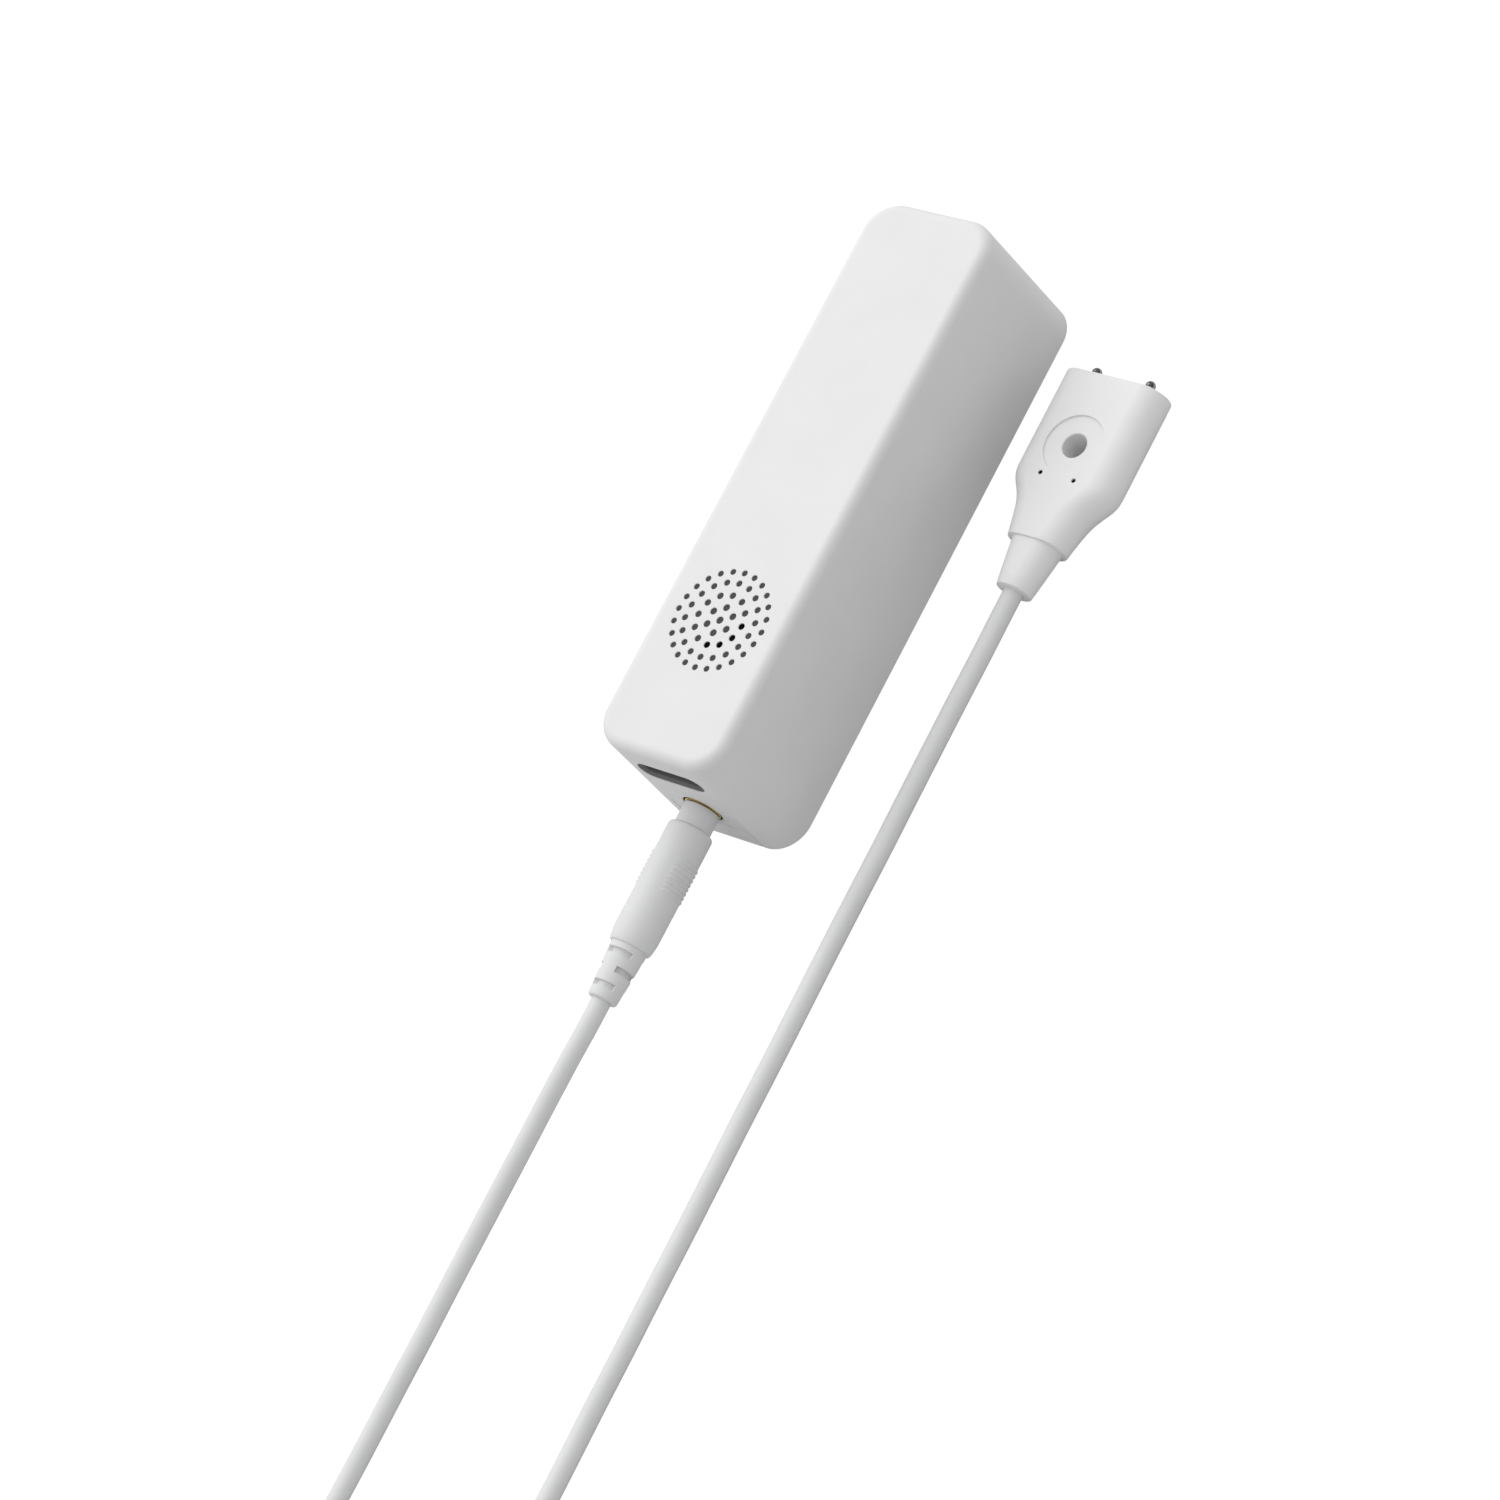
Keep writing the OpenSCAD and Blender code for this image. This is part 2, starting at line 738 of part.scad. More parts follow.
module plug_insulator() {
    ring_start = barrel_length - tip_length - insulator_ring;
    color([0.1, 0.1, 0.1]) in_barrel() difference() {
        union() {
            translate([0, 0, -core_inside]) cylinder(h = core_inside + ring_start, r = sleeve_bore);
            translate([0, 0, ring_start]) cylinder(h = insulator_ring, d = barrel_diameter);
        }
        translate([0, 0, -core_inside - cut]) cylinder(h = core_inside + barrel_length, r = core_radius);
    }
}

module plug_core() {
    color(gold) in_barrel() translate([0, 0, -core_inside])
        cylinder(h = core_inside + barrel_length - tip_length, r = core_radius);
}

module plug_tip() {
    full = barrel_diameter / 2;
    color(gold) in_barrel() translate([0, 0, barrel_length - tip_length]) rotate_extrude() polygon([
        [0, 0], [full, 0], [full, 0.4], [full - 0.45, 1.1], [full - 0.1, 1.8],
        [full - 0.1, 2.1], [0.45, tip_length], [0, tip_length]
    ]);
}

module lead_from_plug() {
    color(white) translate([0, near_end, 0]) tube_along(plug_route, lead_radius, lead_sides, [0, 0, 1]);
}

module lead_to_probe() {
    color(white) translate([0, near_end, 0]) tube_along(probe_route, lead_radius, lead_sides, [0, 0, 1]);
}

module lead_coil() {
    band = coil_columns * lead_diameter;
    color(white) translate([coil_x, near_end + coil_y, 0]) rotate_extrude()
        translate([coil_radius - band / 2, 0]) square([band, coil_layers * lead_diameter]);
}

module probe_body() {
    half_width = probe_width / 2;
    neck_rings = [for (s = neck_sections)
        flat_section(probe_x, probe_lip_y + s[0], probe_z, half_width - s[1], probe_z - s[2], 12)];
    end_ring = [flat_section(probe_x, probe_end_y, probe_z, half_width, probe_z, 12)];
    color(white) difference() {
        skin(concat(neck_rings, end_ring));
        translate([probe_x, screw_hole_y, probe_thickness - recess_depth])
            cylinder(h = recess_depth + cut, d = recess_diameter);
        translate([probe_x, screw_hole_y, -cut]) cylinder(h = probe_thickness + 2 * cut, d = screw_hole);
        for (x = [-1, 1]) {
            translate([probe_x + x * pin_hole_spacing / 2, pin_hole_y, probe_thickness - pin_hole_depth])
                cylinder(h = pin_hole_depth + cut, r = pin_hole_radius);
            toward_near(probe_x + x * pin_spacing / 2, probe_end_y + cut, probe_z)
                cylinder(h = pin_inside + cut, r = pin_radius);
            toward_near(probe_x + x * pin_spacing / 2, probe_end_y - pin_inside, probe_z)
                cylinder(h = crimp_length, r = crimp_radius);
        }
    }
}

module probe_sleeve() {
    color(white) skin([
        flat_section(probe_x, probe_tail_y, probe_z, sleeve_end_radius, sleeve_end_radius - 0.01, 12),
        flat_section(probe_x, probe_lip_y, probe_z, sleeve_top_half, sleeve_top_thick, 12)
    ]);
}

module probe_pins() {
    color(steel) for (x = [-1, 1]) {
        toward_near(probe_x + x * pin_spacing / 2, probe_end_y + pin_reach, probe_z) union() {
            cylinder(h = pin_inside + pin_reach, r = pin_radius);
            sphere(d = pin_ball);
        }
    }
}

module probe_contacts() {
    color(gold) for (x = [-1, 1]) {
        toward_near(probe_x + x * pin_spacing / 2, probe_end_y - pin_inside, probe_z)
            cylinder(h = crimp_length, r = crimp_radius);
    }
}

housing();
back_cover();
jack_yoke();
jack_bush();
jack_body();
jack_tip_spring();
jack_pins();
slot_liner();
test_button();
button_switch();
circuit_board();
radio_module();
radio_antenna();
main_chip();
status_light();
sounder_case();
sounder_disc();
sounder_gasket();
sounder_pins();
battery_tray();
battery_near();
battery_far();
battery_spring();
contact_near();
contact_far();
tray_screws();
plug_handle();
plug_boot();
plug_sleeve();
plug_insulator();
plug_core();
plug_tip();
lead_from_plug();
lead_coil();
lead_to_probe();
probe_body();
probe_sleeve();
probe_pins();
probe_contacts();
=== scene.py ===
"""Leak alarm: a white battery box with a sounder, and a contact probe on a plug-in lead."""
import math

import bmesh
import bpy
from bpy.props import FloatProperty, FloatVectorProperty, PointerProperty
from mathutils import Matrix, Vector


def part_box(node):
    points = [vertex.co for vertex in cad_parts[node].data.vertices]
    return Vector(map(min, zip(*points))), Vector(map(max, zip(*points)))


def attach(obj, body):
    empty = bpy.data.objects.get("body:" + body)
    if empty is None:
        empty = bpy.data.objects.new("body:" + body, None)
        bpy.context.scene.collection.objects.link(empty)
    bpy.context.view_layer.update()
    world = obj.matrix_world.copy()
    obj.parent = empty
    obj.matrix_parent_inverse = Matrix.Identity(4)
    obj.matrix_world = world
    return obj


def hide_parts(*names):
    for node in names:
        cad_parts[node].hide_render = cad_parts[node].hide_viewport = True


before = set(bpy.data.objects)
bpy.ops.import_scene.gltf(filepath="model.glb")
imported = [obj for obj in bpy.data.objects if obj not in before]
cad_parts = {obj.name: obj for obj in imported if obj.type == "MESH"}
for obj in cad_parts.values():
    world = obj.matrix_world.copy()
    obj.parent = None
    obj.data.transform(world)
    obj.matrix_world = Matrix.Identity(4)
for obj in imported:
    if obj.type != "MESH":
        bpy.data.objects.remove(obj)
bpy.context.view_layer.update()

bl_info = {
    "name": "Leak alarm builder",
    "version": (1, 0, 0),
    "blender": (4, 5, 0),
    "location": "View3D > Sidebar > Leak alarm",
    "description": "Builds a leak alarm box and its plug-in probe lead round the packed frame",
    "category": "Add Mesh",
}

MM = 0.001
FULL_TURN = 2 * math.pi
# Points nearer than these are one point: on the axis, in a new solid and after a cut
AXIS_SEAM = 1e-8
SEAM = 1e-7
CUT_SEAM = 3e-6
# Points within this of a plane lie on it
LEVEL = 1e-6
# How far a cutter reaches past a wall, and a joined solid into one
PAST = MM
BITE = 0.2 * MM
# Steps round the circles that are seen close to
ROUND_STEPS = 96

# Boxes of the packed solids that the looks are fitted to
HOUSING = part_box("housing")
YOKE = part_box("jack_yoke")
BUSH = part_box("jack_bush")
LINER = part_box("slot_liner")
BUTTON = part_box("test_button")
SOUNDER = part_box("sounder_case")
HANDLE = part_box("plug_handle")
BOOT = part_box("plug_boot")
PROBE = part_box("probe_body")
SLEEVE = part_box("probe_sleeve")
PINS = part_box("probe_pins")
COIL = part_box("lead_coil")


def middle(box):
    """Middle of a box."""
    return (box[0] + box[1]) / 2


def size(box):
    """Extents of a box."""
    return box[1] - box[0]


NEAR_END = HOUSING[0].y
FAR_END = HOUSING[1].y
JACK_Z = middle(BUSH).z


# ---------------------------------------------------------------- settings

def length(name, text, default):
    """A distance that can be edited in the panel."""
    return FloatProperty(name=name, description=text, default=default, min=0.0, precision=5,
                         unit="LENGTH", subtype="DISTANCE")


def colour(name, text, default):
    """A surface colour that can be edited in the panel."""
    return FloatVectorProperty(name=name, description=text, default=default, size=4,
                               min=0.0, max=1.0, subtype="COLOR")


class LEAK_PG_shell(bpy.types.PropertyGroup):
    """Sizes of the box."""
    corner_radius: length("Corner radius", "Radius of the four long corner edges", 7 * MM)
    face_fillet: length("Face fillet", "Radius of the edge round the sounder face", 2 * MM)
    draft: length("Draft", "How much each side leans in from the back to the face", 0.53 * MM)
    wall: length("Wall", "Thickness of the walls and of the face", 2.4 * MM)
    rim_wall: length("Rim", "Thickness of the rim round the cover", 1.6 * MM)
    cover_depth: length("Cover recess", "Depth of the recess for the cover", 2.1 * MM)
    hole_diameter: length("Sound hole", "Diameter of the middle sound hole", 1.55 * MM)
    hole_step: length("Hole step", "How much smaller the holes of each further ring are", 0.07 * MM)
    grille_skin: length("Grille skin", "Thickness of the face round the sound holes", 0.26 * MM)
    gauze: length("Gauze", "Thickness of the gauze under the sound holes", 0.35 * MM)
    mouth_round: length("Mouth rounding", "Rounding of the edges of the openings", 0.12 * MM)


class LEAK_PG_lead(bpy.types.PropertyGroup):
    """Sizes of the plug, the lead and the probe."""
    diameter: length("Lead diameter", "Outside diameter of the lead", 4 * MM)
    rib_rise: length("Rib height", "Height of the grip ribs", 0.21 * MM)
    rib_pitch: length("Rib pitch", "Distance between the grip ribs", 0.95 * MM)
    window_depth: length("Window depth", "Depth of the windows of the boot", 0.9 * MM)
    screw_hole: length("Screw hole", "Diameter of the probe's screw hole", 5.2 * MM)
    recess: length("Recess", "Diameter of the recess round the screw hole", 12.8 * MM)
    recess_depth: length("Recess depth", "Depth of that recess", 0.48 * MM)


class LEAK_PG_finish(bpy.types.PropertyGroup):
    """Colours of the finishes."""
    shell: colour("Shell", "Matt white of the box", (0.80, 0.80, 0.805, 1))
    probe: colour("Probe", "Satin white of the probe", (0.86, 0.86, 0.865, 1))
    moulding: colour("Moulding", "Soft off-white of the plug", (0.755, 0.757, 0.762, 1))
    jacket: colour("Jacket", "Off-white of the lead", (0.745, 0.748, 0.75, 1))
    # Dark grey of the slot liner, the key and the sounder; in the slot it is dark enough to paint the
    # shade inside the slot
    dark_grey_and_slot_shade: colour("Lining", "Dark grey of the slot and the sounder", (0.16, 0.16, 0.163, 1))
    gold: colour("Gold", "Gold plate of the jack and the plug", (0.86, 0.70, 0.23, 1))
    nickel: colour("Nickel", "Plate of the contacts and the pins", (0.62, 0.62, 0.63, 1))


class LEAK_PG_stage(bpy.types.PropertyGroup):
    """Camera, lights and floor."""
    lens: FloatProperty(name="Lens", description="Focal length of the camera", default=130.578,
                        min=1.0, subtype="DISTANCE_CAMERA")
    key_power: FloatProperty(name="Key light", description="Power of the soft light at the left",
                             default=5.0, min=0.0, unit="POWER")
    sky: FloatProperty(name="Sky", description="Brightness of the brightest side of the room",
                       default=1.38, min=0.0, max=2.0, subtype="FACTOR")
    ground: FloatProperty(name="Ground", description="Brightness of the far side of the room",
                          default=0.48, min=0.0, max=2.0, subtype="FACTOR")
    glow: FloatProperty(name="Floor glow", description="How much the pale floor shines by itself",
                        default=0.97, min=0.0, max=2.0, subtype="FACTOR")
    floor: colour("Floor", "Colour of the pale floor", (0.12, 0.12, 0.12, 1))


# ---------------------------------------------------------------- finishes

def new_finish(name):
    """A node material with its shader and the object's own coordinates."""
    finish = bpy.data.materials.new(name)
    finish.use_nodes = True
    nodes = finish.node_tree.nodes
    shader = nodes["Principled BSDF"]
    place = nodes.new("ShaderNodeTexCoord")
    return finish, shader, place.outputs["Object"]


def noise(finish, place, scale, detail=3.0, rough=0.5):
    """Output of a cloud pattern with so many cells to the metre."""
    node = finish.node_tree.nodes.new("ShaderNodeTexNoise")
    node.inputs["Scale"].default_value = scale
    node.inputs["Detail"].default_value = detail
    node.inputs["Roughness"].default_value = rough
    finish.node_tree.links.new(place, node.inputs["Vector"])
    return node.outputs["Fac"]


def spread(finish, source, low, high, start=0.3, end=0.7):
    """Maps a pattern onto a range of values."""
    node = finish.node_tree.nodes.new("ShaderNodeMapRange")
    for socket, value in zip(("From Min", "From Max", "To Min", "To Max"), (start, end, low, high)):
        node.inputs[socket].default_value = value
    finish.node_tree.links.new(source, node.inputs["Value"])
    return node.outputs["Result"]


def tint(finish, shader, pattern, first, second):
    """Colours the shader from one colour to another by a pattern."""
    node = finish.node_tree.nodes.new("ShaderNodeMix")
    node.data_type = "RGBA"
    node.inputs["A"].default_value = first
    node.inputs["B"].default_value = second
    finish.node_tree.links.new(pattern, node.inputs["Factor"])
    finish.node_tree.links.new(node.outputs["Result"], shader.inputs["Base Color"])


def uneven_gloss(finish, shader, pattern, low, high):
    """Lets the roughness wander between two values by a pattern."""
    finish.node_tree.links.new(spread(finish, pattern, low, high), shader.inputs["Roughness"])


def bump(finish, shader, source, depth, strength=1.0, under=None):
    """Raises the surface by a pattern, over another bump if there is one."""
    node = finish.node_tree.nodes.new("ShaderNodeBump")
    node.inputs["Strength"].default_value = strength
    node.inputs["Distance"].default_value = depth
    finish.node_tree.links.new(source, node.inputs["Height"])
    if under is not None:
        finish.node_tree.links.new(under, node.inputs["Normal"])
    finish.node_tree.links.new(node.outputs["Normal"], shader.inputs["Normal"])
    return node.outputs["Normal"]


def shade(base, share):
    """A colour made darker or lighter by a share."""
    return (*(min(1.0, c * share) for c in base[:3]), 1)


def moulded_plastic(name, base, rough, grain, grain_depth, mottle=0.015, gloss=0.3):
    """Moulded plastic: faint clouding, a fine spark-eroded grain and uneven gloss."""
    finish, shader, place = new_finish(name)
    shader.inputs["Specular IOR Level"].default_value = gloss
    clouds = spread(finish, noise(finish, place, 70, 4), 0, 1)
    tint(finish, shader, clouds, shade(base, 1 - mottle), shade(base, 1 + mottle))
    uneven_gloss(finish, shader, noise(finish, place, 900, 2), rough - 0.05, rough + 0.05)
    flow = bump(finish, shader, noise(finish, place, 160, 2), 0.03 * MM, 0.5)
    bump(finish, shader, noise(finish, place, grain, 2, 0.6), grain_depth, 0.6, flow)
    return finish


def plated_metal(name, base, rough):
    """Plated metal: fine polishing marks and slightly uneven gloss."""
    finish, shader, place = new_finish(name)
    shader.inputs["Metallic"].default_value = 1.0
    stain = spread(finish, noise(finish, place, 500, 3), 0, 1)
    tint(finish, shader, stain, shade(base, 0.93), shade(base, 1.04))
    uneven_gloss(finish, shader, noise(finish, place, 2600, 3), rough * 0.7, rough * 1.4)
    bump(finish, shader, noise(finish, place, 5000, 2), 0.004 * MM, 0.4)
    return finish


def circuit_laminate(name):
    """Green solder mask, paler where copper tracks lie below it."""
    finish, shader, place = new_finish(name)
    cells = finish.node_tree.nodes.new("ShaderNodeTexVoronoi")
    cells.feature = "DISTANCE_TO_EDGE"
    cells.distance = "MANHATTAN"
    cells.inputs["Scale"].default_value = 330
    finish.node_tree.links.new(place, cells.inputs["Vector"])
    tracks = spread(finish, cells.outputs["Distance"], 0, 1, 0.05, 0.09)
    tint(finish, shader, tracks, (0.004, 0.045, 0.02, 1), (0.01, 0.11, 0.045, 1))
    shader.inputs["Roughness"].default_value = 0.32
    raised = bump(finish, shader, tracks, 0.03 * MM, 0.7)
    bump(finish, shader, noise(finish, place, 2200, 2), 0.01 * MM, 0.5, raised)
    return finish


def cell_wrap(name):
    """Blue shrunk plastic wrap of a cell, with faint creases."""
    finish, shader, place = new_finish(name)
    specks = spread(finish, noise(finish, place, 700, 3), 0, 1)
    tint(finish, shader, specks, (0.02, 0.07, 0.17, 1), (0.03, 0.095, 0.21, 1))
    uneven_gloss(finish, shader, noise(finish, place, 300, 3), 0.24, 0.38)
    bump(finish, shader, noise(finish, place, 420, 3), 0.05 * MM, 0.5)
    return finish


def clear_lens(name):
    """Milky lens of the status light."""
    finish, shader, place = new_finish(name)
    haze = spread(finish, noise(finish, place, 900, 2), 0, 1)
    tint(finish, shader, haze, (0.75, 0.82, 0.75, 1), (0.85, 0.9, 0.85, 1))
    shader.inputs["Roughness"].default_value = 0.15
    bump(finish, shader, noise(finish, place, 1500, 2), 0.01 * MM, 0.4)
    return finish


def foam_ring(name):
    """Dark open-cell foam."""
    finish, shader, place = new_finish(name)
    pores = spread(finish, noise(finish, place, 4200, 4), 0, 1)
    tint(finish, shader, pores, (0.012, 0.012, 0.013, 1), (0.05, 0.05, 0.052, 1))
    shader.inputs["Roughness"].default_value = 0.95
    bump(finish, shader, pores, 0.08 * MM, 1.0)
    return finish


def woven_gauze(name):
    """Fine dark weave: two crossed sets of threads."""
    finish, shader, place = new_finish(name)
    nodes, links = finish.node_tree.nodes, finish.node_tree.links
    cross = nodes.new("ShaderNodeMath")
    cross.operation = "MAXIMUM"
    for way, thread in zip(("X", "Y"), cross.inputs):
        wave = nodes.new("ShaderNodeTexWave")
        wave.wave_type = "BANDS"
        wave.bands_direction = way
        wave.inputs["Scale"].default_value = 900
        wave.inputs["Distortion"].default_value = 0.4
        links.new(place, wave.inputs["Vector"])
        links.new(wave.outputs["Fac"], thread)
    weave = cross.outputs["Value"]
    tint(finish, shader, weave, (0.035, 0.035, 0.037, 1), (0.085, 0.085, 0.088, 1))
    shader.inputs["Roughness"].default_value = 0.8
    bump(finish, shader, weave, 0.05 * MM, 0.8)
    return finish


def finish_named(name):
    """The finish of that name, made when it is first asked for."""
    made = bpy.data.materials.get(name)
    if made:
        return made
    colours = bpy.context.scene.leak_alarm_finish
    # Colour, roughness, grain cells to the metre, grain depth, clouding and gloss
    moulded = {
        "shell_plastic": (colours.shell, 0.5, 4500, 0.012 * MM),
        "probe_plastic": (colours.probe, 0.42, 5200, 0.008 * MM),
        "soft_moulding": (colours.moulding, 0.5, 5200, 0.008 * MM),
        "lead_jacket": (colours.jacket, 0.42, 6000, 0.006 * MM, 0.02),
        # The slot's liner and key: dark grey that paints the shade inside the slot
        "slot_liner_grey_and_shade": (colours.dark_grey_and_slot_shade, 0.6, 4500, 0.012 * MM, 0.05),
        "key_grey_and_slot_shade": (shade(colours.dark_grey_and_slot_shade, 0.9), 0.5, 4500, 0.01 * MM, 0.04),
        "sounder_black": (shade(colours.dark_grey_and_slot_shade, 0.6), 0.5, 3500, 0.01 * MM, 0.04),
        "black_plastic": ((0.012, 0.012, 0.013, 1), 0.42, 3500, 0.01 * MM, 0.08),
        # Near black that paints shade: the ring in the gap round the jack bush and the studs in the
        # probe's small holes
        "near_black_painted_shade": ((0.008, 0.008, 0.009, 1), 0.8, 3500, 0.01 * MM, 0.08, 0.05),
        "tray_plastic": ((0.62, 0.62, 0.6, 1), 0.5, 3500, 0.02 * MM, 0.03),
    }
    # Colour and roughness
    plated = {
        "gold_plate": (colours.gold, 0.22),
        # Pins: nickel darkened to paint the dark reflections of polished chrome
        "pin_plate_painted_dark_reflection": (shade(colours.nickel, 0.62), 0.05),
        "nickel_plate": (colours.nickel, 0.3),
        "brass_disc": ((0.72, 0.5, 0.2, 1), 0.4),
    }
    others = {
        "board_laminate": circuit_laminate, "cell_wrap": cell_wrap, "clear_lens": clear_lens,
        "gasket_foam": foam_ring, "sound_gauze": woven_gauze,
    }
    if name in moulded:
        return moulded_plastic(name, *moulded[name])
    if name in plated:
        return plated_metal(name, *plated[name])
    return others[name](name)


# ---------------------------------------------------------------- modelling helpers

def outward(shape):
    """Closes the seams of one solid and turns its faces outwards."""
    bmesh.ops.remove_doubles(shape, verts=shape.verts, dist=SEAM)
    bmesh.ops.dissolve_degenerate(shape, dist=SEAM, edges=shape.edges)
    bmesh.ops.recalc_face_normals(shape, faces=shape.faces)
    if shape.calc_volume(signed=True) < 0:
        bmesh.ops.reverse_faces(shape, faces=shape.faces)
    return shape


def link_mesh(name, *shapes):
    """Makes one object of finished solids."""
    mesh = bpy.data.meshes.new(name)
    whole = bmesh.new()
    for shape in shapes:
        outward(shape).to_mesh(mesh)
        shape.free()
        whole.from_mesh(mesh)
    whole.to_mesh(mesh)
    whole.free()
    made = bpy.data.objects.new(name, mesh)
    bpy.context.scene.collection.objects.link(made)
    return made


def carve(target, name, *shapes, operation="DIFFERENCE"):
    """Cuts finished solids out of a piece, or joins them to it."""
    cutter = link_mesh(name, *shapes)
    modifier = target.modifiers.new("carve", "BOOLEAN")
    modifier.object = cutter
    modifier.operation = operation
    modifier.solver = "EXACT"
    bpy.context.view_layer.update()
    seen = target.evaluated_get(bpy.context.evaluated_depsgraph_get())
    mesh = bpy.data.meshes.new_from_object(seen)
    shape = bmesh.new()
    shape.from_mesh(mesh)
    bmesh.ops.remove_doubles(shape, verts=shape.verts, dist=CUT_SEAM)
    bmesh.ops.dissolve_degenerate(shape, dist=CUT_SEAM, edges=shape.edges)
    shape.to_mesh(mesh)
    shape.free()
    target.modifiers.clear()
    old = target.data
    target.data = mesh
    bpy.data.meshes.remove(old)
    bpy.data.objects.remove(cutter)
    return target


def dress(piece, body, finish, nodes, sharp=35.0, even=True):
    """Shades a piece, gives it its finish and lets it ride on its body in place of its nodes."""
    mesh = piece.data
    mesh.materials.clear()
    mesh.materials.append(finish_named(finish))
    mesh.shade_smooth()
    mesh.set_sharp_from_angle(angle=math.radians(sharp))
    if even:
        shading = piece.modifiers.new("even shading", "WEIGHTED_NORMAL")
        shading.keep_sharp = True
        shading.weight = 60
    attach(piece, body)
    if nodes:
        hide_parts(*nodes)
    return piece


def spun(profile, steps, closed=False):
    """Turns a profile of (radius, height) pairs round +Z."""
    shape = bmesh.new()
    verts = [shape.verts.new((r, 0, z)) for r, z in profile]
    following = verts[1:] + verts[:1] if closed else verts[1:]
    edges = [shape.edges.new(pair) for pair in zip(verts, following)]
    bmesh.ops.spin(shape, geom=verts + edges, cent=(0, 0, 0), axis=(0, 0, 1), dvec=(0, 0, 0),
                   angle=FULL_TURN, steps=steps, use_merge=True)
    return shape


def turned(profile, steps):
    """Solid turned round +Z from a profile that runs from axis to axis."""
    shape = spun(profile, steps)
    bmesh.ops.remove_doubles(shape, verts=shape.verts, dist=AXIS_SEAM)
    return shape


def turned_ring(profile):
    """Ring turned round +Z from a closed section."""
    return spun(profile, ROUND_STEPS, closed=True)


def sector(inner, outer, low, high, start, angle):
    """Part of a flat ring round +Z, from an angle on."""
    shape = bmesh.new()
    corners = ((inner, low), (outer, low), (outer, high), (inner, high))
    verts = [shape.verts.new((r, 0, z)) for r, z in corners]
    face = shape.faces.new(verts)
    bmesh.ops.rotate(shape, verts=verts, cent=(0, 0, 0), matrix=Matrix.Rotation(start, 3, "Z"))
    bmesh.ops.spin(shape, geom=[face, *face.edges, *verts], cent=(0, 0, 0), axis=(0, 0, 1),
                   angle=angle, steps=24)
    return shape


def moved(shape, x, y, z=0.0):
    """Moves a shape and gives it back."""
    bmesh.ops.translate(shape, vec=(x, y, z), verts=shape.verts)
    return shape


def toward_near(shape, x, y, z):
    """Lays a shape built along +Z down along -Y from a point."""
    turn = Matrix.Translation((x, y, z)) @ Matrix.Rotation(math.radians(90), 4, "X")
    bmesh.ops.transform(shape, matrix=turn, verts=shape.verts)
    return shape


def block(low, high):
    """Box between two corners."""
    shape = bmesh.new()
    bmesh.ops.create_cube(shape, size=1)
    low, high = Vector(low), Vector(high)
    bmesh.ops.scale(shape, vec=high - low, verts=shape.verts)
    bmesh.ops.translate(shape, vec=(low + high) / 2, verts=shape.verts)
    return shape


def upright_edges(shape):
    """Edges that run from the bottom to the top of a block."""
    return [e for e in shape.edges if abs((e.verts[0].co - e.verts[1].co).normalized().z) > 0.9]


def round_edges(shape, edges, radius, segments):
    """Rounds some edges of a shape."""
    bmesh.ops.bevel(shape, geom=edges, offset=radius, offset_type="OFFSET", segments=segments,
                    profile=0.5, affect="EDGES", clamp_overlap=True, material=-1)


def rounded_block(low, high, radius, segments=12):
    """Box with its four upright edges rounded."""
    shape = block(low, high)
    round_edges(shape, upright_edges(shape), radius, segments)
    return shape


def oval(half_length, half_height, depth, steps=24):
    """Oval prism along +Z with round ends on X."""
    shape = bmesh.new()
    ring = bmesh.ops.create_circle(shape, cap_ends=True, radius=half_height, segments=2 * steps)
    turn = Matrix.Rotation(math.pi / (2 * steps), 4, "Z")
    bmesh.ops.transform(shape, matrix=turn, verts=ring["verts"])
    for v in shape.verts:
        v.co.x += math.copysign(half_length - half_height, v.co.x)
    grown = bmesh.ops.extrude_face_region(shape, geom=shape.faces[:])
    up = [v for v in grown["geom"] if isinstance(v, bmesh.types.BMVert)]
    bmesh.ops.translate(shape, vec=(0, 0, depth), verts=up)
    return shape


def smooth_step(t):
    """Rises smoothly from 0 to 1."""
    t = max(0.0, min(1.0, t))
    return t * t * (3 - 2 * t)


def through(points, t):
    """Value of a smooth curve through (place, value) points."""
    last = len(points) - 2
    i = next((k for k in range(last) if t <= points[k + 1][0]), last)
    (a, va), (b, vb) = points[i], points[i + 1]
    before = points[i - 1] if i else (2 * a - b, 2 * va - vb)
    after = points[i + 2] if i < last else (2 * b - a, 2 * vb - va)
    u = (t - a) / (b - a)
    m0 = (vb - before[1]) / (b - before[0]) * (b - a)
    m1 = (after[1] - va) / (after[0] - a) * (b - a)
    return ((2 * u ** 3 - 3 * u ** 2 + 1) * va + (u ** 3 - 2 * u ** 2 + u) * m0
            + (-2 * u ** 3 + 3 * u ** 2) * vb + (u ** 3 - u ** 2) * m1)


def stadium_loft(sections, steps=16):
    """Closed solid along Y through flat sections: (y, x, z, half width, half thickness)."""
    shape = bmesh.new()
    loops = []
    for y, x, z, half_width, half_thick in sections:
        turn = (Matrix.Translation((x, y, z)) @ Matrix.Rotation(math.radians(90), 4, "X")
                @ Matrix.Rotation(math.pi / (2 * steps), 4, "Z"))
        ring = bmesh.ops.create_circle(shape, radius=half_thick, segments=2 * steps, matrix=turn)
        for v in ring["verts"]:
            v.co.x += math.copysign(half_width - half_thick, v.co.x - x)
        edges = {e for v in ring["verts"] for e in v.link_edges}
        loops.append(list(edges))
    for first, second in zip(loops, loops[1:]):
        bmesh.ops.bridge_loops(shape, edges=first + second)
    for loop in (loops[0], loops[-1]):
        bmesh.ops.contextual_create(shape, geom=loop)
    return shape


# ---------------------------------------------------------------- stage

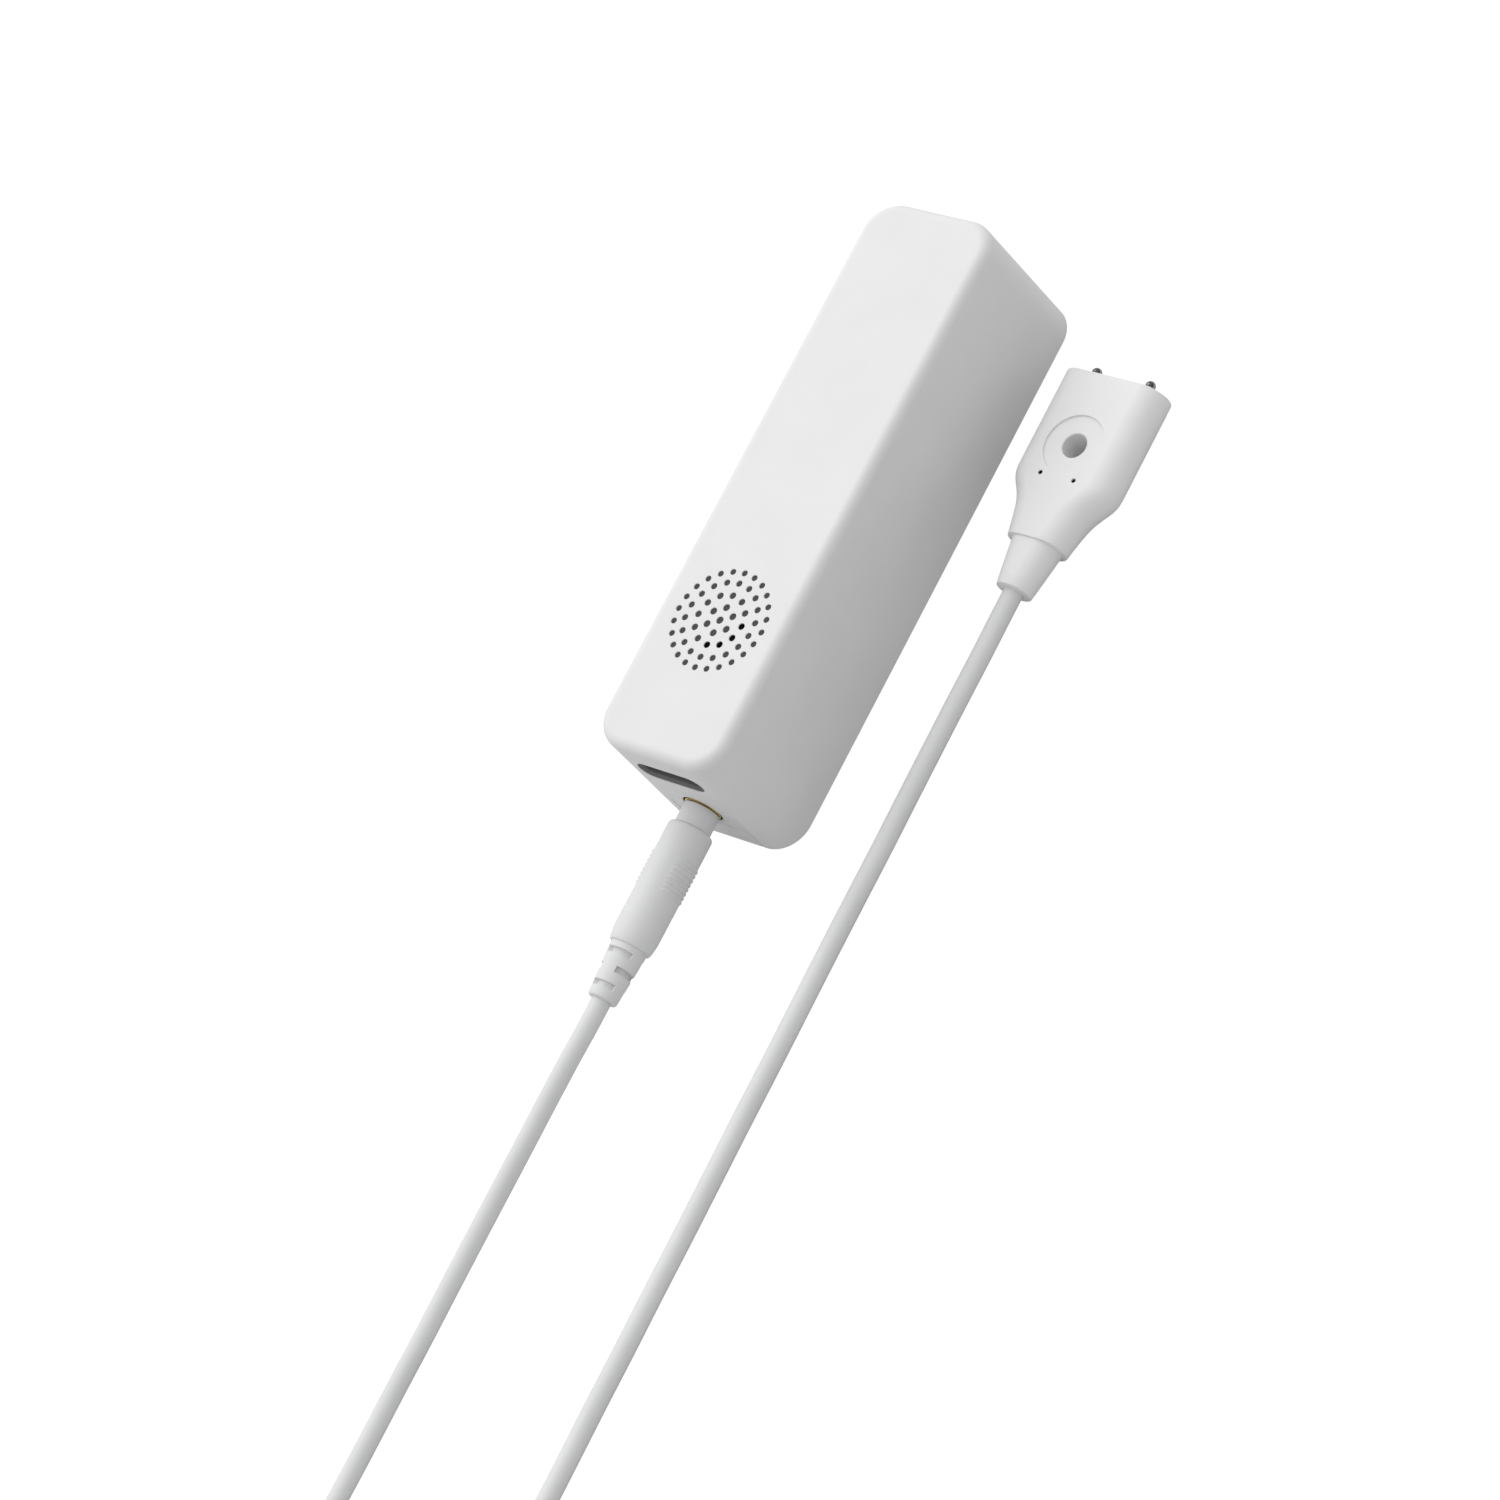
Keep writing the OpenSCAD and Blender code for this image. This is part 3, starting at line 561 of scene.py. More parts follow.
CAMERA_PLACE = (0.63122, -0.28007, 0.79405)
CAMERA_RIGHT = (0.7561, 0.45395, -0.47142)
CAMERA_UP = (-0.23816, 0.86179, 0.44788)
KEY_PLACE = (-1.2, 0.6, 1.5)
KEY_TARGET = (0.0, -0.03, 0.02)
KEY_WIDTH = 1.2
WHITE = (1, 1, 1, 1)
# Side of the room that the sky light comes from
SKY_SIDE = (-0.60, 0.32, 0.733)
# How much of the room's light the glossy surfaces mirror
MIRRORED_SHARE = 0.25
# How much paler the floor is for the light that it throws up than by its own colour
FLOOR_BOUNCE = 5.2
FLOOR_DEPTH = 0.2 * MM
FLOOR_HALF = 30


class LEAK_OT_stage(bpy.types.Operator):
    """Camera, soft lights and the pale floor"""
    bl_idname = "leak_alarm.stage"
    bl_label = "Stage"

    def execute(self, context):
        scene = context.scene
        setup = scene.leak_alarm_stage
        scene.view_settings.view_transform = "Standard"
        self.make_camera(scene, setup)
        self.make_key_light(scene, setup)
        self.make_floor(scene, setup)
        self.make_world(scene, setup)
        return {"FINISHED"}

    def make_camera(self, scene, setup):
        """Camera above the alarm and to its right."""
        data = bpy.data.cameras.new("camera")
        data.lens = setup.lens
        data.clip_start, data.clip_end = 0.05, 50
        camera = bpy.data.objects.new("camera", data)
        scene.collection.objects.link(camera)
        right, up = Vector(CAMERA_RIGHT).normalized(), Vector(CAMERA_UP).normalized()
        back = right.cross(up).normalized()
        up = back.cross(right)
        turn = Matrix((right, up, back)).transposed().to_4x4()
        camera.matrix_world = Matrix.Translation(CAMERA_PLACE) @ turn
        scene.camera = camera

    def make_key_light(self, scene, setup):
        """Soft round light high at the left."""
        lamp = bpy.data.lights.new("key_light", "AREA")
        lamp.shape = "DISK"
        lamp.size = KEY_WIDTH
        lamp.energy = setup.key_power
        made = bpy.data.objects.new("key_light", lamp)
        scene.collection.objects.link(made)
        made.visible_camera = False
        made.location = KEY_PLACE
        made.rotation_mode = "QUATERNION"
        toward = Vector(KEY_TARGET) - Vector(KEY_PLACE)
        made.rotation_quaternion = toward.to_track_quat("-Z", "Y")

    def make_floor(self, scene, setup):
        """Floor that looks white and throws a softer light back up."""
        shape = bmesh.new()
        bmesh.ops.create_grid(shape, x_segments=1, y_segments=1, size=FLOOR_HALF)
        moved(shape, 0, 0, -FLOOR_DEPTH)
        mesh = bpy.data.meshes.new("floor")
        shape.to_mesh(mesh)
        shape.free()
        floor = bpy.data.objects.new("floor", mesh)
        scene.collection.objects.link(floor)
        paint = bpy.data.materials.new("pale_floor")
        paint.use_nodes = True
        nodes, links = paint.node_tree.nodes, paint.node_tree.links
        shader = nodes["Principled BSDF"]
        shader.inputs["Base Color"].default_value = setup.floor
        shader.inputs["Roughness"].default_value = 0.9
        shader.inputs["Specular IOR Level"].default_value = 0.0
        shader.inputs["Emission Color"].default_value = WHITE
        shader.inputs["Emission Strength"].default_value = setup.glow
        bounce = nodes.new("ShaderNodeBsdfDiffuse")
        bounce.inputs["Color"].default_value = shade(setup.floor, FLOOR_BOUNCE)
        rays = nodes.new("ShaderNodeLightPath")
        mix = nodes.new("ShaderNodeMixShader")
        links.new(rays.outputs["Is Camera Ray"], mix.inputs["Fac"])
        links.new(bounce.outputs["BSDF"], mix.inputs[1])
        links.new(shader.outputs["BSDF"], mix.inputs[2])
        links.new(mix.outputs["Shader"], nodes["Material Output"].inputs["Surface"])
        paint.cycles.emission_sampling = "NONE"
        mesh.materials.append(paint)

    def make_world(self, scene, setup):
        """Room that is white to look at and gives more light from one side."""
        world = bpy.data.worlds.new("studio")
        world.use_nodes = True
        nodes, links = world.node_tree.nodes, world.node_tree.links
        back = nodes["Background"]
        dim = nodes.new("ShaderNodeBackground")
        back.inputs["Color"].default_value = dim.inputs["Color"].default_value = WHITE
        back.inputs["Strength"].default_value = 1.0
        place = nodes.new("ShaderNodeTexCoord")
        toward = nodes.new("ShaderNodeVectorMath")
        toward.operation = "DOT_PRODUCT"
        toward.inputs[1].default_value = SKY_SIDE
        links.new(place.outputs["Generated"], toward.inputs[0])
        fade = spread(world, toward.outputs["Value"], setup.ground, setup.sky, 0, 1)
        rays = nodes.new("ShaderNodeLightPath")
        mirrored = spread(world, rays.outputs["Is Glossy Ray"], 1.0, MIRRORED_SHARE, 0, 1)
        level = nodes.new("ShaderNodeMath")
        level.operation = "MULTIPLY"
        links.new(fade, level.inputs[0])
        links.new(mirrored, level.inputs[1])
        links.new(level.outputs["Value"], dim.inputs["Strength"])
        mix = nodes.new("ShaderNodeMixShader")
        links.new(rays.outputs["Is Camera Ray"], mix.inputs["Fac"])
        links.new(dim.outputs["Background"], mix.inputs[1])
        links.new(back.outputs["Background"], mix.inputs[2])
        links.new(mix.outputs["Shader"], nodes["World Output"].inputs["Surface"])
        scene.world = world


# ---------------------------------------------------------------- lead

# Route points of the free stretches in millimetres, y from the near end, as the packed solids lie
PLUG_ROUTE = (
    (0, -41.4, 11.7), (0, -46, 11.7), (-0.5, -53, 11.3), (-1.3, -61, 10.4), (-2.4, -71, 9),
    (-3.7, -81, 7.4), (-5, -91, 5.8), (-6.1, -101, 4.4), (-6.9, -111, 3.3), (-7.6, -121, 2.5),
    (-7.9, -131, 2.1), (-8, -141, 2), (-8.2, -151, 2), (-8.6, -161, 2), (-9, -171, 2), (-9.2, -181, 2),
)
PROBE_ROUTE = (
    (36.5, 61.3, 4.75), (36.5, 56, 4.75), (36.3, 47, 4.4), (35.8, 37, 3.8), (35.3, 27, 3.1),
    (34.9, 17, 2.5), (34.7, 7, 2.1), (34.6, -3, 2), (34.6, -15, 2), (34.7, -27, 2), (34.8, -39, 2),
    (34.8, -51, 2), (34.9, -63, 2), (35, -75, 2), (35, -87, 2), (35.1, -99, 2), (35.1, -111, 2),
    (35.2, -121, 2), (35.3, -131, 2.1), (35.5, -139, 2.7), (35.9, -147, 3.9), (36.4, -155, 5.6),
    (36.9, -163, 7.5), (37.4, -171, 9), (37.7, -179, 9.8), (37.8, -185, 10),
)
# Turns of the coil: angle in degrees, then radius and height in millimetres
COIL_PLAN = (
    (180, 23.5, 2), (450, 23.5, 2), (510, 19.5, 2), (780, 19.5, 2), (830, 19.5, 6), (1110, 19.5, 6),
    (1170, 23.5, 6), (1458, 23.5, 6), (1508, 23.5, 10), (1800, 23.5, 10),
)
# Degrees from one point of the coil to the next
COIL_STEP = 20
ON_THE_LEAD = ("plug_handle_look", "plug_boot_look", "probe_body_look", "probe_sleeve_look",
               "probe_pins_look", "probe_hole_shade_studs_look")
METAL_ON_THE_LEAD = ("plug_sleeve", "plug_insulator", "plug_core", "plug_tip", "probe_contacts")


def coil_points():
    """Points of the coil, one step apart."""
    centre = middle(COIL)
    points = []
    for angle in range(COIL_PLAN[0][0], COIL_PLAN[-1][0] + 1, COIL_STEP):
        for (a, ra, za), (b, rb, zb) in zip(COIL_PLAN, COIL_PLAN[1:]):
            if a <= angle <= b:
                t = smooth_step((angle - a) / (b - a))
                radius, height = (ra + (rb - ra) * t) * MM, (za + (zb - za) * t) * MM
        turn = math.radians(angle)
        x = centre.x + radius * math.cos(turn)
        y = centre.y + radius * math.sin(turn)
        points.append(Vector((x, y, height)))
    return points


def route_points(route):
    """Points of a free stretch in the frame's metres."""
    return [Vector((x * MM, NEAR_END + y * MM, z * MM)) for x, y, z in route]


class LEAK_OT_lead(bpy.types.Operator):
    """One round lead from the plug to the probe, its spare length in a coil"""
    bl_idname = "leak_alarm.lead"
    bl_label = "Lead"

    def execute(self, context):
        sizes = context.scene.leak_alarm_lead
        points = route_points(PLUG_ROUTE) + coil_points() + route_points(PROBE_ROUTE)[::-1]
        curve = bpy.data.curves.new("lead", "CURVE")
        curve.dimensions = "3D"
        curve.resolution_u = 4
        curve.bevel_depth = sizes.diameter / 2
        curve.bevel_resolution = 5
        curve.use_fill_caps = True
        spline = curve.splines.new("BEZIER")
        spline.bezier_points.add(len(points) - 1)
        for knot, point in zip(spline.bezier_points, points):
            knot.co = point
            knot.handle_left_type = knot.handle_right_type = "AUTO"
        lead = bpy.data.objects.new("lead", curve)
        context.scene.collection.objects.link(lead)
        curve.materials.append(finish_named("lead_jacket"))
        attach(lead, "lead")
        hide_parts("lead_from_plug", "lead_coil", "lead_to_probe")
        return {"FINISHED"}


def declare_lead():
    """Gathers the pieces that ride on the lead."""
    pieces = [bpy.data.objects[name] for name in ON_THE_LEAD]
    pieces += [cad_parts[name] for name in METAL_ON_THE_LEAD]


# ---------------------------------------------------------------- box

# Width of the seams round the cover's tongue and the plate above it
SEAM_GAP = 0.22 * MM
JACK_OPENING = 8.6 * MM
# Frame of even width inside the rounded edge of a flat face
FLAT_FRAME = 0.25 * MM
# Rings of sound holes: radius and number of holes
RINGS = ((0, 1), (2.75 * MM, 6), (5.35 * MM, 12), (8 * MM, 18), (10.25 * MM, 24))
HOLE_CHAMFER = 0.06 * MM
HOLE_RELIEF = 0.5 * MM
# Opening of the gauze over the sounder's port, along the third ring of holes
PORT_HALF = 1.2 * MM
PORT_START = math.radians(-102)
PORT_ANGLE = math.radians(114)
# Screw bosses, and the collar that holds the sounder
SCREW_INSET = 2 * MM
BOSS_RADIUS = 2.3 * MM
BOSS_CHAMFER = 0.2 * MM
BORE_RADIUS = 1.1 * MM
BORE_DEPTH = 5.6 * MM
BORE_POINT = 0.6 * MM
SOUNDER_PLAY = 0.2 * MM
COLLAR_WALL = 0.8 * MM
COLLAR_DEPTH = 2 * MM
# Hooks of the cover: distances back from the far end, and heights
HOOK_PLACES = (-7 * MM, 7 * MM)
HOOK_HALF = 2 * MM
HOOK_ROOT = 4.2 * MM
STEM_FRONT, STEM_LOW, STEM_HIGH = 3.0 * MM, 1.8 * MM, 3.0 * MM
LIP_FRONT, LIP_LOW, LIP_HIGH = 2.1 * MM, 2.9 * MM, 3.9 * MM
HOOK_PLAY = 0.3 * MM
POCKET_DEPTH = 0.8 * MM
COVER_THICKNESS = 2 * MM
COVER_PLAY = 0.15 * MM
COVER_ROUNDING = 0.25 * MM
TONGUE_PLAY = 0.03 * MM
BROKEN_EDGE = 0.03 * MM


def screw_places():
    """Middles of the four tray screws, seen from above."""
    lo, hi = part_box("tray_screws")
    return [(x, y) for x in (lo.x + SCREW_INSET, hi.x - SCREW_INSET)
            for y in (lo.y + SCREW_INSET, hi.y - SCREW_INSET)]


def jack_bore(s):
    """Cutter of the jack opening, with its rounded mouth."""
    radius = JACK_OPENING / 2
    mouth = radius + s.mouth_round
    bore = turned([(0, -PAST), (radius, -PAST), (radius, s.wall - s.mouth_round),
                   (mouth, s.wall + 0.3 * MM), (mouth, s.wall + PAST), (0, s.wall + PAST)],
                  ROUND_STEPS)
    return toward_near(bore, 0, NEAR_END + s.wall, JACK_Z)


class LEAK_OT_housing(bpy.types.Operator):
    """Moulded shell with its sound holes, slot and jack opening"""
    bl_idname = "leak_alarm.housing"
    bl_label = "Housing"

    def execute(self, context):
        s = context.scene.leak_alarm_shell
        shell = self.outside(s)
        self.hollow(shell, s)
        self.bosses(shell, s)
        self.sounder_seat(shell, s)
        self.screw_bores(shell)
        self.sound_holes(shell, s)
        self.near_end(shell, s)
        dress(shell, "box", "shell_plastic", ["housing"], sharp=30)
        self.gauze(s)
        return {"FINISHED"}

    def outside(self, s):
        """Leaning block with rounded corners and a rounded face."""
        shape = block(*HOUSING)
        for v in shape.verts:
            if v.co.z > middle(HOUSING).z:
                v.co.x -= math.copysign(s.draft, v.co.x)
                v.co.y -= math.copysign(s.draft, v.co.y)
        round_edges(shape, upright_edges(shape), s.corner_radius, 20)
        top = max(v.co.z for v in shape.verts)
        rim = [e for e in shape.edges if all(v.co.z > top - LEVEL for v in e.verts)]
        round_edges(shape, rim, s.face_fillet, 10)
        flats = [f for f in shape.faces if f.normal.z > 0.99 or f.normal.y < -0.99]
        flats = sorted(flats, key=lambda f: f.calc_area())[-2:]
        bmesh.ops.inset_individual(shape, faces=flats, thickness=FLAT_FRAME, use_even_offset=True)
        return link_mesh("housing_look", shape)

    def hollow(self, shell, s):
        """Inside, the recess for the cover and the pockets for its hooks."""
        half = size(HOUSING).x / 2
        for name, wall, top in (("hollow", s.wall, HOUSING[1].z - s.wall),
                                ("recess", s.rim_wall, s.cover_depth)):
            room = rounded_block((-half + wall, NEAR_END + wall, -PAST),
                                 (half - wall, FAR_END - wall, top), s.corner_radius - wall)
            carve(shell, name, room)
        inner_end = FAR_END - s.wall
        grown = HOOK_HALF + HOOK_PLAY
        pockets = [block((x - grown, inner_end - PAST, LIP_LOW - HOOK_PLAY),
                         (x + grown, inner_end + POCKET_DEPTH, LIP_HIGH + HOOK_PLAY))
                   for x in HOOK_PLACES]
        carve(shell, "pockets", *pockets)

    def bosses(self, shell, s):
        """Four posts that hang from the face to the board."""
        low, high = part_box("circuit_board")[1].z, HOUSING[1].z - s.wall + BITE
        profile = [(0, low), (BOSS_RADIUS - BOSS_CHAMFER, low), (BOSS_RADIUS, low + BOSS_CHAMFER),
                   (BOSS_RADIUS, high), (0, high)]
        posts = [moved(turned(profile, 32), x, y) for x, y in screw_places()]
        carve(shell, "posts", *posts, operation="UNION")

    def sounder_seat(self, shell, s):
        """Collar round the sounder, and the thin skin inside it."""
        ceiling = HOUSING[1].z - s.wall
        skin = HOUSING[1].z - s.grille_skin
        inner = size(SOUNDER).x / 2 + SOUNDER_PLAY
        outer = inner + COLLAR_WALL
        place = middle(SOUNDER)
        low, high = ceiling - COLLAR_DEPTH, ceiling + BITE
        collar = turned_ring([(inner, low), (outer, low), (outer, high), (inner, high)])
        carve(shell, "collar", moved(collar, place.x, place.y), operation="UNION")
        seat = turned([(0, ceiling - PAST), (inner, ceiling - PAST), (inner, skin), (0, skin)],
                      ROUND_STEPS)
        carve(shell, "seat", moved(seat, place.x, place.y))

    def screw_bores(self, shell):
        """Blind bores of the tray screws."""
        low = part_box("circuit_board")[1].z
        top = low + BORE_DEPTH
        profile = [(0, low - PAST), (BORE_RADIUS, low - PAST), (BORE_RADIUS, top),
                   (0, top + BORE_POINT)]
        carve(shell, "bores", *(moved(turned(profile, 24), x, y) for x, y in screw_places()))

    def sound_holes(self, shell, s):
        """Rings of holes over the sounder, smaller from ring to ring."""
        place = middle(SOUNDER)
        top = HOUSING[1].z
        bottom, past = top - s.grille_skin - BITE, top + HOLE_RELIEF
        holes = []
        for ring, (radius, count) in enumerate(RINGS):
            bore = (s.hole_diameter - s.hole_step * ring) / 2
            mouth = bore + HOLE_CHAMFER + HOLE_RELIEF
            profile = [(0, bottom), (bore, bottom), (bore, top - HOLE_CHAMFER), (mouth, past),
                       (0, past)]
            for k in range(count):
                angle = FULL_TURN * k / count + math.pi / 2
                holes.append(moved(turned(profile, 20), place.x + radius * math.cos(angle),
                                   place.y + radius * math.sin(angle)))
        carve(shell, "sound_holes", *holes)

    def near_end(self, shell, s):
        """Notch for the tongue and the plate, the jack opening and the slot."""
        half = size(YOKE).x / 2 + SEAM_GAP
        notch = block((-half, NEAR_END - PAST, -PAST),
                      (half, NEAR_END + s.wall + PAST, YOKE[1].z + SEAM_GAP))
        carve(shell, "notch", notch)
        carve(shell, "jack_opening", jack_bore(s))
        place = middle(LINER)
        slot = oval(size(LINER).x / 2, size(LINER).z / 2, s.wall + 2 * PAST)
        carve(shell, "slot_opening", toward_near(slot, place.x, NEAR_END + s.wall + PAST, place.z))

    def gauze(self, s):
        """Dark disc under the holes, open over the sounder's port."""
        place = middle(SOUNDER)
        high = HOUSING[1].z - s.grille_skin
        low = high - s.gauze
        radius = size(SOUNDER).x / 2
        edge = 0.1 * MM
        disc = turned([(0, low), (radius - edge, low), (radius, low + edge), (radius, high),
                       (0, high)], ROUND_STEPS)
        port_radius = RINGS[2][0]
        port = sector(port_radius - PORT_HALF, port_radius + PORT_HALF, high - PAST, high + PAST,
                      PORT_START, PORT_ANGLE)
        gauze = link_mesh("sound_gauze_look", moved(disc, place.x, place.y))
        carve(gauze, "port", moved(port, place.x, place.y))
        dress(gauze, "box", "sound_gauze", None, sharp=30)


class LEAK_OT_back_cover(bpy.types.Operator):
    """Inset back cover with its tongue, and the plate that closes the jack opening from below"""
    bl_idname = "leak_alarm.back_cover"
    bl_label = "Back cover"

    def execute(self, context):
        s = context.scene.leak_alarm_shell
        self.cover(s)
        self.yoke(s)
        return {"FINISHED"}

    def cover(self, s):
        """Plate of the cover with its tongue and its two hooks."""
        edge = s.rim_wall + COVER_PLAY
        half = size(HOUSING).x / 2 - edge
        plate = rounded_block((-half, NEAR_END + edge, 0), (half, FAR_END - edge, COVER_THICKNESS),
                              s.corner_radius - edge, 16)
        low = [e for e in plate.edges if all(v.co.z < LEVEL for v in e.verts)]
        round_edges(plate, low, COVER_ROUNDING, 3)
        cover = link_mesh("back_cover_look", plate)
        half = size(YOKE).x / 2 - TONGUE_PLAY
        tongue = self.end_plate((-half, 0), (half, YOKE[0].z - SEAM_GAP), s)
        carve(cover, "tongue", tongue, operation="UNION")
        for x in HOOK_PLACES:
            for front, bottom, top in ((STEM_FRONT, STEM_LOW, STEM_HIGH),
                                       (LIP_FRONT, LIP_LOW, LIP_HIGH)):
                hook = block((x - HOOK_HALF, FAR_END - HOOK_ROOT, bottom),
                             (x + HOOK_HALF, FAR_END - front, top))
                carve(cover, "hook", hook, operation="UNION")
        dress(cover, "cover", "shell_plastic", ["back_cover"])

    def yoke(self, s):
        """Plate above the tongue, hollowed for the jack."""
        plate = self.end_plate((YOKE[0].x, YOKE[0].z), (YOKE[1].x, YOKE[1].z), s)
        yoke = carve(link_mesh("jack_yoke_look", plate), "yoke_bore", jack_bore(s))
        dress(yoke, "box", "shell_plastic", ["jack_yoke"])

    def end_plate(self, low, high, s):
        """Plate in the end wall that leans in as the wall does, between two (x, z) corners."""
        plate = block((low[0], NEAR_END, low[1]), (high[0], NEAR_END + s.wall, high[1]))
        front = NEAR_END + MM
        for v in plate.verts:
            if v.co.y < front:
                v.co.y += s.draft * v.co.z / HOUSING[1].z
        edges = [e for e in plate.edges if max(v.co.y for v in e.verts) < front]
        round_edges(plate, edges, BROKEN_EDGE, 1)
        return plate


LINER_WALL = 0.7 * MM
LINER_INSET = 0.45 * MM
LINER_FLARE = 0.4 * MM
KEY_PLAY = 0.3 * MM
KEY_DEPTH = 2.6 * MM
KEY_ROUNDING = 0.3 * MM
KEY_COLLAR_BACK = 1.3 * MM
STEM_RADIUS = MM
STEM_LENGTH = 3 * MM


class LEAK_OT_slot(bpy.types.Operator):
    """Dark grey lining of the slot and the button behind it, whose grey paints the shade inside the
    slot
    """
    bl_idname = "leak_alarm.slot"
    bl_label = "Slot and button"

    def execute(self, context):
        place = middle(LINER)
        half, high = size(LINER).x / 2, size(LINER).z / 2
        inner_half, inner_high = half - LINER_WALL, high - LINER_WALL
        self.liner(place, (half, high), (inner_half, inner_high))
        self.button(place, inner_half - KEY_PLAY, inner_high - KEY_PLAY)
        return {"FINISHED"}

    def liner(self, place, outside, inside):
        """Oval tube that flares at its mouth, dark grey to paint the shade inside the slot."""
        front, back = NEAR_END + LINER_INSET, LINER[1].y
        outer = toward_near(oval(*outside, back - front), place.x, back, place.z)
        mouth = [reach + LINER_FLARE for reach in outside]
        inner = stadium_loft([(front - 0.5 * MM, place.x, place.z, *mouth),
                              (front + 0.6 * MM, place.x, place.z, *inside),
                              (back + PAST, place.x, place.z, *inside)], 24)
        dark_grey_and_slot_shade = carve(link_mesh("slot_liner_look", outer), "inner", inner)
        dress(dark_grey_and_slot_shade, "box", "slot_liner_grey_and_shade", ["slot_liner"])

    def button(self, place, half, high):
        """Key in the slot, with the collar and the stem behind it; its dark grey paints the shade
        inside the slot.
        """
        key = moved(oval(half, high, KEY_DEPTH), 0, 0, -KEY_DEPTH)
        top = [e for e in key.edges if all(v.co.z > -LEVEL for v in e.verts)]
        round_edges(key, top, KEY_ROUNDING, 3)
        toward_near(key, place.x, BUTTON[0].y, place.z)
        collar = oval(size(BUTTON).x / 2, size(BUTTON).z / 2, MM)
        toward_near(collar, place.x, LINER[1].y + KEY_COLLAR_BACK, place.z)
        stem = turned([(0, 0), (STEM_RADIUS, 0), (STEM_RADIUS, STEM_LENGTH), (0, STEM_LENGTH)], 32)
        toward_near(stem, place.x, BUTTON[1].y, place.z)
        button = link_mesh("test_button_look", key)
        carve(button, "collar", collar, operation="UNION")
        carve(button, "stem", stem, operation="UNION")
        dress(button, "button", "key_grey_and_slot_shade", ["test_button"])


# Bore of the gold bush, then the black ring in the gap round it, which paints the shadow there: gap,
# width and length
BUSH_BORE = 1.83 * MM
SHADOW_RING_PLAY = 0.02 * MM
SHADOW_RING_WIDTH = 0.36 * MM
SHADOW_RING_LENGTH = 2 * MM


class LEAK_OT_jack(bpy.types.Operator):
    """Gold bush of the jack and the black ring round it that paints the shadow in the gap"""
    bl_idname = "leak_alarm.jack"
    bl_label = "Jack"

    def execute(self, context):
        outer, tall = size(BUSH).x / 2, size(BUSH).y
        ring = [(BUSH_BORE, 0), (outer, 0)]
        ring += edge_points(((0, -0.25), (0.08, -0.08), (0.25, 0)), outer, tall)
        ring += [(BUSH_BORE + 0.2 * MM, tall), (BUSH_BORE, tall - 0.2 * MM)]
        bush = toward_near(turned_ring(ring), 0, BUSH[1].y, JACK_Z)
        dress(link_mesh("jack_bush_look", bush), "box", "gold_plate", ["jack_bush"])
        # Near black ring in the gap between the bush and the opening: painted shadow
        inner, edge = outer + SHADOW_RING_PLAY, outer + SHADOW_RING_PLAY + SHADOW_RING_WIDTH
        seat = turned_ring([(inner, 0), (edge, 0), (edge, SHADOW_RING_LENGTH - 0.1 * MM),
                            (edge - 0.08 * MM, SHADOW_RING_LENGTH), (inner, SHADOW_RING_LENGTH)])
        toward_near(seat, 0, BUSH[1].y, JACK_Z)
        dress(link_mesh("jack_shadow_ring_look", seat), "box", "near_black_painted_shade", None)
        return {"FINISHED"}


# ---------------------------------------------------------------- plug

PLUG_FACE = HANDLE[1].y
COLLAR_LENGTH = 4.4 * MM
COLLAR_RADIUS = 3.7 * MM
HANDLE_RADIUS = 4.6 * MM
HANDLE_END = 30.1 * MM
SHOULDER_RADIUS = 3.95 * MM
SHOULDER_LENGTH = 4 * MM
SHOULDER_STEPS = 14
TAIL_CHAMFER = 0.25 * MM
# Rounded edges: how far in and how far along each point lies, in millimetres
COLLAR_NOSE = ((0.25, 0), (0.07, 0.07), (0, 0.25))
COLLAR_GROOVE = ((0, -0.12), (0.1, -0.06), (0.1, 0))
HANDLE_NOSE = ((0.75, 0), (0.55, 0.03), (0.25, 0.2), (0.07, 0.5), (0, 0.9))
# Grip: where it starts, its ribs, and the share of the pitch that a rib and its slope take
HANDLE_WAIST = 7.5 * MM
GRIP_START = 11.2 * MM
GRIP_COUNT = 8
GRIP_HALF_ANGLE = math.radians(57)
GRIP_FADE = math.radians(16)
RIB_OFFSET = 0.22 * MM
RIB_SHARE = 0.72
RIB_SLOPE = 0.42
RIB_STEPS = 10
# Boot: radii at its ends, and its windows
BOOT_START_RADIUS = 3.7 * MM
BOOT_END_RADIUS = 2.95 * MM
BOOT_BORE = 2.05 * MM
BOOT_TAIL_IN, BOOT_TAIL_LONG = 0.4 * MM, 0.5 * MM
WINDOW_START = 1.9 * MM
WINDOW_STEP = 3.4 * MM
WINDOW_ROWS = 3
WINDOW_HALF = 0.625 * MM
WINDOW_HALF_ANGLE = math.radians(60)


def edge_points(points, radius, place):
    """Profile points of an edge from how far in and along they lie, in millimetres."""
    return [(radius - inward * MM, place + along * MM) for inward, along in points]


def boot_radius(place):
    """Radius of the boot at a distance back from its start."""
    return BOOT_START_RADIUS + (BOOT_END_RADIUS - BOOT_START_RADIUS) * place / size(BOOT).y


